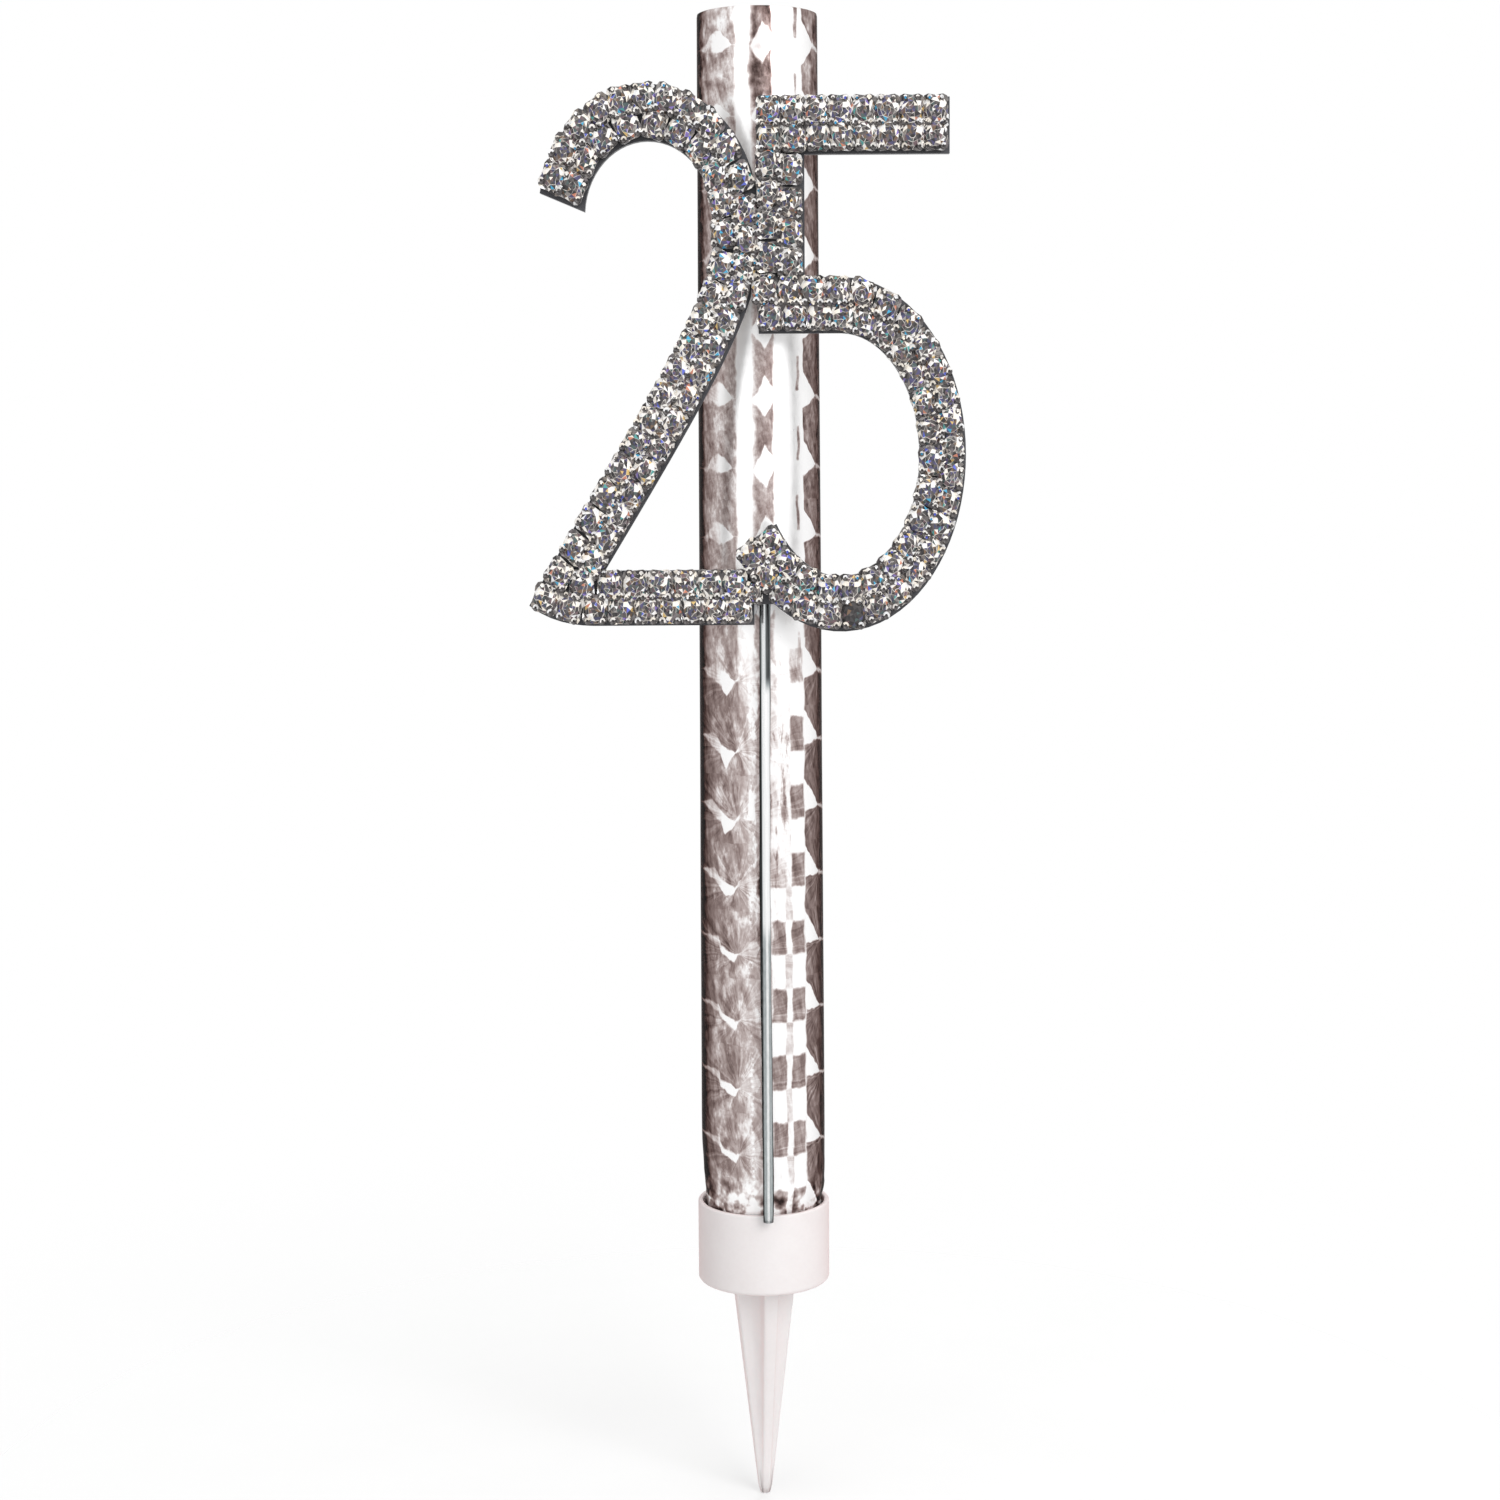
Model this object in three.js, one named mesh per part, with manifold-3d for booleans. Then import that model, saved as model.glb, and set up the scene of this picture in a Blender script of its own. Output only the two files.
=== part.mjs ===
// Cake fountain sparkler: a foil-wrapped fountain tube that stands in a plastic cup with a cake
// spike, and a rhinestone number 25 on a wire stem, glued to the front of the tube.
// Millimetres, +Z up. The origin is the centre of the cup's underside, where the cake's top is.
// The number faces -Y.

import * as THREE from 'three';
import { mergeVertices } from 'three/addons/utils/BufferGeometryUtils.js';
import Module from 'manifold-3d';

// Fountain tube
const TUBE_LENGTH = 126;
const PAPER_RADIUS = 5.7;
const PAPER_WALL = 1.1;
const FOIL_THICKNESS = 0.12;
const FOIL_GAP = 0.1; // between foil and paper where the wrap is tight
const FOIL_SLACK = 0.36; // how much further out the wrap stands just above the cup
const SLACK_HEIGHT = 1.6; // height of the loosest ring above the cup's rim
const FOIL_TUCK = 5.5; // how far the wrap's hem goes down into the cup
const FOIL_LIP = 2.4; // how far the wrap is folded down inside the mouth
const RIM_ROUND = 0.4; // outside radius of the wrap where it turns over the mouth's edge

// Inside the tube, from the bottom up
const PLUG_LENGTH = 9;
const BORE_CLEARANCE = 0.1;
const STACK_GAP = 0.1;
const PRIMER_LENGTH = 3;
const DISC_THICKNESS = 0.8;
const RECESS_DEPTH = 4.8; // from the tube's mouth down to the paper disc

// Fuse: a short wick, folded down across the recess
const FUSE_RADIUS = 0.8;
const FUSE_OFFSET = 2.6; // from the tube's axis to the wick's root
const FUSE_HOLE_CLEARANCE = 0.15;
const FUSE_BEND_GAP = 0.15;
const FUSE_REST_GAP = 0.1;
const FUSE_TIP_CLEARANCE = 0.3;

// Cup and spike, one moulding
const CUP_CLEARANCE = 0.2;
const CUP_WALL = 0.55;
const CUP_HEIGHT = 8.25;
const CUP_FLOOR = 0.8;
const CUP_ROUND = 0.45;
const SPIKE_LENGTH = 22.7;
const SPIKE_TOP_WIDTH = 6.2;
const SPIKE_TIP_WIDTH = 1;
const FIN_TOP_THICKNESS = 1.6;
const FIN_TIP_THICKNESS = 0.8;
const SPIKE_TURN = 15; // degrees that the fins are turned from facing straight forward

// Stones: two rows of cup chain on each stroke of the number
const STONE_WIDTH = 2.05; // across the row
const STONE_PITCH = 2.32; // along the row
const ROW_GAP = 0.12;
const CUP_CHAIN_HEIGHT = 1;
const LINK_HEIGHT = 0.5;
const CROWN_HEIGHT = 0.65;
const TABLE_SHARE = 0.55; // width of the flat table as a share of the stone's width
const LINK_SHARE = 0.42; // width of the link between two cups as a share of the stone's width
const CORNER_SHARE = 0.27; // length of a cup's cut corner as a share of the pitch
const CHAIN_GAP = 0.12; // least gap where one chain ends at another
const CHAIN_SHIFT = 0.12; // how far up and to the left of the plate the chains are glued

// Number plate. Its strokes and stones are taller than wide by the digit stretch.
const DIGIT_STRETCH = 1.2;
const PLATE_MARGIN = 0.11;
const PLATE_THICKNESS = 1;
const PLATE_JOIN = 0.05; // overlap of the two digits where they meet
const CURVE_STEP = 0.9; // spacing of the outline's points on round strokes

// The 2, by the centrelines of its strokes
const TWO_STEM_X = -2.2;
const TWO_TOP_Z = 116.5;
const TWO_ARC_WIDTH = 8.3;
const TWO_ARC_HEIGHT = 9.7;
const TWO_TIP_ANGLE = 177;
const TWO_TIP_SKEW = 1; // how much later the arc's outer edge starts than its inner edge
const TWO_STEM_FOOT_Z = 103.2;
const TWO_LEAN_START = 5.2; // how far the diagonal's curve pulls straight down at its top
const TWO_LEAN_END = [9.1, 15]; // how far it pulls up and to the right at its foot
const TWO_HEEL = [-18.9, 71];
const TWO_BASE_Z = 70.2;
const TWO_TOE = [-21.15, 71.75];
const TWO_TOE_BEND = [-19.2, 70.2];
const TWO_BASE_START_X = -16;
const TWO_BASE_END_X = -0.6;
const TWO_BASE_UPPER_TRIM = 6.3; // how much later the base's upper row starts

// The 5, by the centrelines of its strokes
const BAR_Z = 115.15;
const BAR_REACH = 18.3;
const BOWL_FOOT_Z = 69.5;
const BOWL_REACH = 5.65; // from the neck's centreline to the bowl's centre
const BOWL_WIDTH = 9.8;
const BOWL_HEIGHT = 14.35;
const TAIL_ANGLE = -147;

// Web of plate that joins the 2's base to the 5's tail, by its centreline
const WEB_Z = 72.2;
const WEB_END_X = 2;

// Wire stem, solder and glue behind the plate
const STEM_RADIUS = 0.55;
const STEM_X = 0.45;
const STEM_CLEARANCE = 0.15; // between the stem and the cup's wall
const STEM_FOOT_DROP = 0.35; // the stem's foot below the cup's rim
const STEM_RISE = 5.3; // from the centreline of the 2's base up to the stem's top
const STEM_SEAT = 0.1;
const SOLDER_WIDTH = 1.1;
const SOLDER_GAP = 0.1;
const SOLDER_DROP = 1.9; // from the centreline of the 2's base down to the solder's foot
const SOLDER_LENGTH = 3.2;
const GLUE_GAP = 0.15;
const UPPER_GLUE_WIDTH = 7;
const UPPER_GLUE_HEIGHT = 7;
const UPPER_GLUE_RISE = 3.3; // from the foot of the 2's upright up to the pad's centre
const LOWER_GLUE_WIDTH = 3.6;
const LOWER_GLUE_HEIGHT = 4;

// Roundness of the turned pieces
const SIDES = 40;
const SMALL_SIDES = 12;

// Worked out from the sizes above
const boreRadius = PAPER_RADIUS - PAPER_WALL;
const fillRadius = boreRadius - BORE_CLEARANCE;
const tubeFoot = CUP_FLOOR;
const tubeTop = tubeFoot + TUBE_LENGTH;
const plugTop = tubeFoot + PLUG_LENGTH;
const discTop = tubeTop - RECESS_DEPTH;
const primerTop = discTop - DISC_THICKNESS - STACK_GAP;
const chargeTop = primerTop - PRIMER_LENGTH - STACK_GAP;
const foilInner = PAPER_RADIUS + FOIL_GAP;
const foilRadius = foilInner + FOIL_THICKNESS;
const lipOuter = boreRadius - FOIL_GAP;
const lipInner = lipOuter - FOIL_THICKNESS;
const cupInner = foilRadius + CUP_CLEARANCE;
const cupRadius = cupInner + CUP_WALL;
const fuseX = -FUSE_OFFSET;
const fuseZ = discTop + FUSE_REST_GAP + FUSE_RADIUS;
const strokeWidth = 2 * (STONE_WIDTH + PLATE_MARGIN) + ROW_GAP;
const rowOffset = (STONE_WIDTH + ROW_GAP) / 2;
const finRoot = CUP_FLOOR / 2;
const stemY = -(cupRadius + STEM_CLEARANCE + STEM_RADIUS);
const stemTop = TWO_BASE_Z + STEM_RISE;
const solderX = STEM_X - STEM_RADIUS - SOLDER_GAP;
const lowerGlueX = solderX - SOLDER_WIDTH - SOLDER_GAP - LOWER_GLUE_WIDTH / 2;
const plateBack = stemY - STEM_RADIUS - STEM_SEAT;
const plateFront = plateBack - PLATE_THICKNESS;
const neckX = TWO_STEM_X + strokeWidth - PLATE_JOIN;
const neckLeft = neckX - strokeWidth / 2;
const bowlX = neckX + BOWL_REACH;
const bowlZ = BOWL_FOOT_Z + BOWL_HEIGHT;
const bowlTop = bowlZ + BOWL_HEIGHT;

const wasm = await Module();
wasm.setup();

function toSolid(geometry) {
  const bare = geometry.clone();
  bare.deleteAttribute('normal');
  bare.deleteAttribute('uv');
  const merged = mergeVertices(bare, 1e-5);
  return new wasm.Manifold(new wasm.Mesh({
    numProp: 3,
    vertProperties: new Float32Array(merged.attributes.position.array),
    triVerts: new Uint32Array(merged.index.array),
  }));
}

function toGeometry(solid) {
  const { vertProperties, triVerts } = solid.getMesh();
  const geometry = new THREE.BufferGeometry();
  geometry.setAttribute('position', new THREE.BufferAttribute(vertProperties, 3));
  geometry.setIndex(new THREE.BufferAttribute(triVerts, 1));
  geometry.computeVertexNormals();
  return geometry;
}

const join = (geometries) => toGeometry(geometries.map(toSolid).reduce((all, next) => all.add(next)));

// A maker of one material, by its colour, roughness and metalness.
const finish = (color, roughness, metalness) => () => (
  new THREE.MeshStandardMaterial({ color, roughness, metalness })
);
const whitePlastic = finish(0xefe6e6, 0.45, 0);
const greyPaper = finish(0xcfc6b6, 0.9, 0);
const palePaper = finish(0xd8d2c8, 0.9, 0);
const silverFoil = finish(0xcdc4c4, 0.25, 0.9);
const clay = finish(0xb9a58c, 0.95, 0);
const greyPowder = finish(0x5d5a58, 0.9, 0.1);
const blackPowder = finish(0x2f2c2a, 0.95, 0);
const greenWick = finish(0x55624a, 0.9, 0);
const darkMetal = finish(0x4a4a50, 0.5, 0.6);
const stonesInCups = finish(0x9a9ca3, 0.15, 0.7);
const polishedWire = finish(0xb8bcc0, 0.25, 1);
const dullSolder = finish(0x8d8f92, 0.35, 1);
const clearGlue = finish(0xe8e4da, 0.3, 0);

function piece(name, geometry, material) {
  const mesh = new THREE.Mesh(geometry, material());
  mesh.name = name;
  return mesh;
}

// A profile of [radius, height] points turned about the Z axis.
function turned(profile, sides = SIDES) {
  const points = profile.map(([radius, height]) => new THREE.Vector2(radius, height));
  return new THREE.LatheGeometry(points, sides).rotateX(Math.PI / 2);
}

function cylinder(radius, foot, top, sides = SIDES) {
  return turned([[0, foot], [radius, foot], [radius, top], [0, top]], sides);
}

// Points of a quarter round of a profile, from one angle to another in degrees.
function quarter(centreRadius, centreHeight, radius, from, to, steps = 3) {
  const points = [];
  for (let i = 0; i <= steps; i += 1) {
    const angle = THREE.MathUtils.degToRad(from + ((to - from) * i) / steps);
    points.push([centreRadius + radius * Math.cos(angle), centreHeight + radius * Math.sin(angle)]);
  }
  return points;
}

// A disc with one off-centre hole for the fuse.
function discWithHole(radius, foot, height) {
  const outline = new THREE.Shape().absarc(0, 0, radius, 0, 2 * Math.PI);
  const holeRadius = FUSE_RADIUS + FUSE_HOLE_CLEARANCE;
  outline.holes.push(new THREE.Path().absarc(fuseX, 0, holeRadius, 0, 2 * Math.PI, true));
  const options = { depth: height, bevelEnabled: false, curveSegments: SMALL_SIDES };
  return new THREE.ExtrudeGeometry(outline, options).translate(0, 0, foot);
}

function cup() {
  return turned([
    [0, 0],
    ...quarter(cupRadius - CUP_ROUND, CUP_ROUND, CUP_ROUND, -90, 0),
    [cupRadius, CUP_HEIGHT],
    [cupInner, CUP_HEIGHT],
    [cupInner, CUP_FLOOR],
    [0, CUP_FLOOR],
  ]);
}

// One fin of the spike: a bar that narrows towards its foot in both directions.
function fin() {
  const height = SPIKE_LENGTH + finRoot;
  const geometry = new THREE.BoxGeometry(1, 1, height);
  const position = geometry.attributes.position;
  for (let i = 0; i < position.count; i += 1) {
    const atTop = position.getZ(i) > 0;
    const width = atTop ? SPIKE_TOP_WIDTH : SPIKE_TIP_WIDTH;
    const thickness = atTop ? FIN_TOP_THICKNESS : FIN_TIP_THICKNESS;
    position.setX(i, position.getX(i) * width);
    position.setY(i, position.getY(i) * thickness);
  }
  const turn = THREE.MathUtils.degToRad(SPIKE_TURN);
  return geometry.translate(0, 0, finRoot - height / 2).rotateZ(turn);
}

function holder() {
  const geometry = join([cup(), fin(), fin().rotateZ(Math.PI / 2)]);
  return piece('holder', geometry, whitePlastic);
}

function paperTube() {
  const geometry = turned([
    [boreRadius, tubeFoot],
    [PAPER_RADIUS, tubeFoot],
    [PAPER_RADIUS, tubeTop],
    [boreRadius, tubeTop],
    [boreRadius, tubeFoot],
  ]);
  return piece('paper_tube', geometry, greyPaper);
}

// The wrap runs up the tube, over its rim and a little way down inside the mouth. It is loosest
// just above the cup, and its hem is tucked into the cup.
function foilWrap() {
  const hem = CUP_HEIGHT - FOIL_TUCK;
  const loose = CUP_HEIGHT + SLACK_HEIGHT;
  const roof = tubeTop + FOIL_GAP;
  const edgeRadius = foilRadius - RIM_ROUND;
  const edgeHeight = roof + FOIL_THICKNESS - RIM_ROUND;
  const geometry = turned([
    [foilInner, hem],
    [foilRadius, hem],
    [foilRadius, CUP_HEIGHT],
    [foilRadius + FOIL_SLACK, loose],
    ...quarter(edgeRadius, edgeHeight, RIM_ROUND, 0, 90),
    [lipInner, roof + FOIL_THICKNESS],
    [lipInner, tubeTop - FOIL_LIP],
    [lipOuter, tubeTop - FOIL_LIP],
    [lipOuter, roof],
    ...quarter(edgeRadius, edgeHeight, RIM_ROUND - FOIL_THICKNESS, 90, 0),
    [foilInner + FOIL_SLACK, loose],
    [foilInner, CUP_HEIGHT],
    [foilInner, hem],
  ]);
  return piece('foil_wrap', geometry, silverFoil);
}

function basePlug() {
  return piece('base_plug', cylinder(fillRadius, tubeFoot, plugTop), clay);
}

function charge() {
  return piece('charge', cylinder(fillRadius, plugTop + STACK_GAP, chargeTop), greyPowder);
}

function primer() {
  const geometry = discWithHole(fillRadius, primerTop - PRIMER_LENGTH, PRIMER_LENGTH);
  return piece('primer', geometry, blackPowder);
}

function topDisc() {
  const geometry = discWithHole(fillRadius, discTop - DISC_THICKNESS, DISC_THICKNESS);
  return piece('top_disc', geometry, palePaper);
}

// The fuse's root stands in the primer and ends in a round knuckle at the fold.
function fuseRoot() {
  const foot = primerTop - PRIMER_LENGTH + STACK_GAP;
  const knuckle = quarter(0, fuseZ, FUSE_RADIUS, 0, 60, 2);
  const profile = [[0, foot], [FUSE_RADIUS, foot], ...knuckle, [0, fuseZ + FUSE_RADIUS]];
  const mesh = piece('fuse_root', turned(profile, SMALL_SIDES), greenWick);
  mesh.position.x = fuseX;
  return mesh;
}

// The fuse's free end lies along +X from the fold and turns up about it.
function fuseTip() {
  const near = FUSE_RADIUS + FUSE_BEND_GAP;
  const far = FUSE_OFFSET + lipInner - FUSE_TIP_CLEARANCE;
  const mesh = piece('fuse_tip', cylinder(FUSE_RADIUS, near, far, SMALL_SIDES), greenWick);
  mesh.rotation.y = Math.PI / 2;
  mesh.position.set(fuseX, 0, fuseZ);
  return mesh;
}

// The number is drawn on a flat sheet: x to the right, and height divided by the digit stretch.
const onSheet = (x, z) => new THREE.Vector2(x, z / DIGIT_STRETCH);

function pathOf(...curves) {
  const path = new THREE.CurvePath();
  curves.forEach((curve) => path.add(curve));
  return path;
}

function ellipse(x, z, width, height, from, to) {
  const start = THREE.MathUtils.degToRad(from);
  const end = THREE.MathUtils.degToRad(to);
  return new THREE.EllipseCurve(x, z / DIGIT_STRETCH, width, height / DIGIT_STRETCH, start, end, true);
}

function twoArc() {
  const x = TWO_STEM_X - TWO_ARC_WIDTH;
  const z = TWO_TOP_Z - TWO_ARC_HEIGHT;
  return pathOf(
    ellipse(x, z, TWO_ARC_WIDTH, TWO_ARC_HEIGHT, TWO_TIP_ANGLE, 0),
    new THREE.LineCurve(onSheet(TWO_STEM_X, z), onSheet(TWO_STEM_X, TWO_STEM_FOOT_Z)),
  );
}

function twoDiagonal() {
  return pathOf(new THREE.CubicBezierCurve(
    onSheet(TWO_STEM_X, TWO_STEM_FOOT_Z),
    onSheet(TWO_STEM_X, TWO_STEM_FOOT_Z - TWO_LEAN_START),
    onSheet(TWO_HEEL[0] + TWO_LEAN_END[0], TWO_HEEL[1] + TWO_LEAN_END[1]),
    onSheet(TWO_HEEL[0], TWO_HEEL[1]),
  ));
}

function twoBase() {
  return pathOf(
    new THREE.QuadraticBezierCurve(
      onSheet(TWO_TOE[0], TWO_TOE[1]),
      onSheet(TWO_TOE_BEND[0], TWO_TOE_BEND[1]),
      onSheet(TWO_BASE_START_X, TWO_BASE_Z),
    ),
    new THREE.LineCurve(onSheet(TWO_BASE_START_X, TWO_BASE_Z), onSheet(TWO_BASE_END_X, TWO_BASE_Z)),
  );
}

function fiveBar() {
  return pathOf(new THREE.LineCurve(onSheet(neckLeft, BAR_Z), onSheet(neckLeft + BAR_REACH, BAR_Z)));
}

function fiveNeck() {
  return pathOf(new THREE.LineCurve(onSheet(neckX, BAR_Z), onSheet(neckX, bowlTop)));
}

function fiveBowl() {
  return pathOf(
    new THREE.LineCurve(onSheet(neckLeft, bowlTop), onSheet(bowlX, bowlTop)),
    ellipse(bowlX, bowlZ, BOWL_WIDTH, BOWL_HEIGHT, 90, TAIL_ANGLE),
  );
}

function web() {
  return pathOf(new THREE.LineCurve(onSheet(TWO_BASE_END_X, WEB_Z), onSheet(WEB_END_X, WEB_Z)));
}

// The place at a distance along a stroke and an offset to its right, on the real plate.
function strokePoint(path, distance, offset) {
  const share = THREE.MathUtils.clamp(distance / path.getLength(), 0, 1);
  const point = path.getPoint(share);
  const along = path.getTangent(share);
  return new THREE.Vector2(point.x + along.y * offset, (point.y - along.x * offset) * DIGIT_STRETCH);
}

// A strip of plate along a stroke. Its left edge may start later than its right one.
function strokeStrip(path, leftStart = 0) {
  const length = path.getLength();
  const steps = Math.ceil(length / CURVE_STEP);
  const left = [];
  const right = [];
  for (let i = 0; i <= steps; i += 1) {
    left.push(strokePoint(path, leftStart + ((length - leftStart) * i) / steps, -strokeWidth / 2));
    right.push(strokePoint(path, (length * i) / steps, strokeWidth / 2));
  }
  const outline = new THREE.Shape([...right, ...left.reverse()]);
  return new THREE.ExtrudeGeometry(outline, { depth: PLATE_THICKNESS, bevelEnabled: false });
}

// From the sheet, with height above it along Z, to the front of the tube.
const standUp = (geometry, back) => geometry.rotateX(Math.PI / 2).translate(0, back, 0);

function numberPlate() {
  const evenStrokes = [twoDiagonal(), twoBase(), fiveBar(), fiveNeck(), fiveBowl(), web()];
  const strips = [
    strokeStrip(twoArc(), TWO_TIP_SKEW),
    ...evenStrokes.map((path) => strokeStrip(path)),
  ];
  return piece('number_plate', standUp(join(strips), plateBack), darkMetal);
}

// Distances along a stroke that divide a row beside it into cells of one even length.
function cellEnds(path, start, end, offset) {
  const samples = 240;
  const lengths = [0];
  const at = (i) => start + ((end - start) * i) / samples;
  const flat = (i) => strokePoint(path, at(i), offset).divide(new THREE.Vector2(1, DIGIT_STRETCH));
  for (let i = 1; i <= samples; i += 1) {
    lengths.push(lengths[i - 1] + flat(i).distanceTo(flat(i - 1)));
  }
  const count = Math.max(1, Math.round(lengths[samples] / STONE_PITCH));
  const ends = [];
  for (let cell = 0; cell <= count; cell += 1) {
    const wanted = (lengths[samples] * cell) / count;
    const next = Math.max(1, lengths.findIndex((length) => length >= wanted - 1e-9));
    const share = (wanted - lengths[next - 1]) / (lengths[next] - lengths[next - 1]);
    ends.push(at(next - 1 + share));
  }
  return ends;
}

// One stone's eight-cornered outline between two distances along a stroke.
function stoneOutline(path, from, to, offset) {
  const corner = (to - from) * CORNER_SHARE;
  const side = STONE_WIDTH / 2;
  const link = side * LINK_SHARE;
  const at = (distance, across) => strokePoint(path, distance, offset + across)
    .add(new THREE.Vector2(-CHAIN_SHIFT, CHAIN_SHIFT));
  return [
    at(from, link), at(from + corner, side), at(to - corner, side), at(to, link),
    at(to, -link), at(to - corner, -side), at(from + corner, -side), at(from, -link),
  ];
}

// Whether two convex outlines keep a gap: some edge's normal separates them by that much.
function keepApart(one, other, gap) {
  const separates = (outline) => outline.some((point, i) => {
    const edge = outline[(i + 1) % outline.length].clone().sub(point);
    const normal = new THREE.Vector2(edge.y, -edge.x).normalize();
    const a = one.map((p) => p.dot(normal));
    const b = other.map((p) => p.dot(normal));
    return Math.min(...a) - Math.max(...b) >= gap || Math.min(...b) - Math.max(...a) >= gap;
  });
  return separates(one) || separates(other);
}

// A row of cells, cut back at both ends to where it clears the chains of the other strokes.
function chainCells(path, start, end, offset, others) {
  const ends = cellEnds(path, start, end, offset);
  const cells = ends.slice(1).map((to, i) => stoneOutline(path, ends[i], to, offset));
  const clears = (cell) => others.every((other) => keepApart(cell, other, CHAIN_GAP));
  while (cells.length > 1 && !clears(cells[0])) cells.shift();
  while (cells.length > 1 && !clears(cells[cells.length - 1])) cells.pop();
  return cells;
}

// A chain as one solid: each cup has an eight-sided wall, a stone's crown and a flat table, and
// shares its end faces' edges with its neighbours. Links are lower than cups.
function chainGeometry(cells) {
  const positions = [];
  const corner = (point, height) => [point.x, point.y, height];
  const face = (...corners) => {
    for (let i = 1; i < corners.length - 1; i += 1) {
      positions.push(...corners[0], ...corners[i], ...corners[i + 1]);
    }
  };
  const isLink = (i) => [0, 3, 4, 7].includes(i);
  cells.forEach((cell, index) => {
    const centre = cell.reduce((sum, p) => sum.add(p), new THREE.Vector2()).divideScalar(cell.length);
    const foot = cell.map((p) => corner(p, 0));
    const rim = cell.map((p, i) => corner(p, isLink(i) ? LINK_HEIGHT : CUP_CHAIN_HEIGHT));
    const top = CUP_CHAIN_HEIGHT + CROWN_HEIGHT;
    const table = cell.map((p) => corner(centre.clone().lerp(p, TABLE_SHARE), top));
    for (let i = 0; i < cell.length; i += 1) {
      const next = (i + 1) % cell.length;
      const shared = (i === 3 && index < cells.length - 1) || (i === 7 && index > 0);
      if (!shared) face(foot[i], foot[next], rim[next], rim[i]);
      face(rim[i], rim[next], table[next], table[i]);
    }
    face(...table);
    face(...foot.reverse());
  });
  const geometry = new THREE.BufferGeometry();
  geometry.setAttribute('position', new THREE.Float32BufferAttribute(positions, 3));
  geometry.computeVertexNormals();
  return geometry;
}

// Each row's name, stroke, side of the stroke, and how much is cut off its start.
function chainPlan() {
  const bar = fiveBar();
  const neck = fiveNeck();
  const bowl = fiveBowl();
  const arc = twoArc();
  const diagonal = twoDiagonal();
  const base = twoBase();
  const left = -rowOffset;
  const right = rowOffset;
  const half = strokeWidth / 2;
  return [
    { name: 'five_bar_upper_stones', path: bar, offset: left },
    { name: 'five_bar_lower_stones', path: bar, offset: right },
    { name: 'five_bowl_outer_stones', path: bowl, offset: left },
    { name: 'five_bowl_inner_stones', path: bowl, offset: right },
    { name: 'five_neck_right_stones', path: neck, offset: left, start: half, stop: half },
    { name: 'five_neck_left_stones', path: neck, offset: right, start: half, stop: half },
    { name: 'two_arc_outer_stones', path: arc, offset: left, start: TWO_TIP_SKEW },
    { name: 'two_arc_inner_stones', path: arc, offset: right, start: TWO_TIP_SKEW / 2 },
    { name: 'two_base_lower_stones', path: base, offset: right },
    { name: 'two_base_upper_stones', path: base, offset: left, start: TWO_BASE_UPPER_TRIM },
    { name: 'two_diagonal_right_stones', path: diagonal, offset: left },
    { name: 'two_diagonal_left_stones', path: diagonal, offset: right },
  ];
}

function chains() {
  const placed = [];
  return chainPlan().map(({ name, path, offset, start = 0, stop = 0 }) => {
    const first = start + PLATE_MARGIN;
    const last = path.getLength() - stop - PLATE_MARGIN;
    const others = placed.filter((chain) => chain.path !== path).flatMap((chain) => chain.cells);
    const cells = chainCells(path, first, last, offset, others);
    placed.push({ path, cells });
    return piece(name, standUp(chainGeometry(cells), plateFront), stonesInCups);
  });
}

function pickStem() {
  const geometry = cylinder(STEM_RADIUS, CUP_HEIGHT - STEM_FOOT_DROP, stemTop, SMALL_SIDES);
  const mesh = piece('pick_stem', geometry, polishedWire);
  mesh.position.set(STEM_X, stemY, 0);
  return mesh;
}

// A bead of solder beside the stem, flat against the plate's back.
function stemSolder() {
  const outline = new THREE.Shape();
  outline.moveTo(0, 0);
  outline.lineTo(-SOLDER_WIDTH, 0);
  outline.absarc(-SOLDER_WIDTH / 2, 0, SOLDER_WIDTH / 2, Math.PI, 0, true);
  const options = { depth: SOLDER_LENGTH, bevelEnabled: false, curveSegments: 6 };
  const mesh = piece('stem_solder', new THREE.ExtrudeGeometry(outline, options), dullSolder);
  mesh.position.set(solderX, plateBack, TWO_BASE_Z - SOLDER_DROP);
  return mesh;
}

// A pad of glue: flat against the plate's back, and hollow on the other side to fit the wrap.
function gluePad(name, x, z, width, height) {
  const hollow = foilRadius + FOIL_SLACK + GLUE_GAP;
  const steps = 6;
  const outline = new THREE.Shape();
  outline.moveTo(x - width / 2, plateBack);
  outline.lineTo(x + width / 2, plateBack);
  for (let i = 0; i <= steps; i += 1) {
    const across = x + width / 2 - (width * i) / steps;
    outline.lineTo(across, -Math.sqrt(hollow ** 2 - across ** 2));
  }
  const options = { depth: height, bevelEnabled: false };
  const geometry = new THREE.ExtrudeGeometry(outline, options).translate(0, 0, z - height / 2);
  return piece(name, geometry, clearGlue);
}

function upperGluePad() {
  const z = TWO_STEM_FOOT_Z + UPPER_GLUE_RISE;
  return gluePad('upper_glue_pad', 0, z, UPPER_GLUE_WIDTH, UPPER_GLUE_HEIGHT);
}

function lowerGluePad() {
  return gluePad('lower_glue_pad', lowerGlueX, TWO_BASE_Z, LOWER_GLUE_WIDTH, LOWER_GLUE_HEIGHT);
}

const cakeFountain = new THREE.Group();
cakeFountain.add(
  holder(),
  paperTube(),
  foilWrap(),
  basePlug(),
  charge(),
  primer(),
  topDisc(),
  fuseRoot(),
  fuseTip(),
  numberPlate(),
  pickStem(),
  stemSolder(),
  upperGluePad(),
  lowerGluePad(),
  ...chains(),
);

export default cakeFountain;
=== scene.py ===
"""Looks of a cake fountain sparkler with a rhinestone number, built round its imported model."""

import math
import random
from dataclasses import dataclass

import bmesh
import bpy
from mathutils import Matrix, Vector, noise


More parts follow.
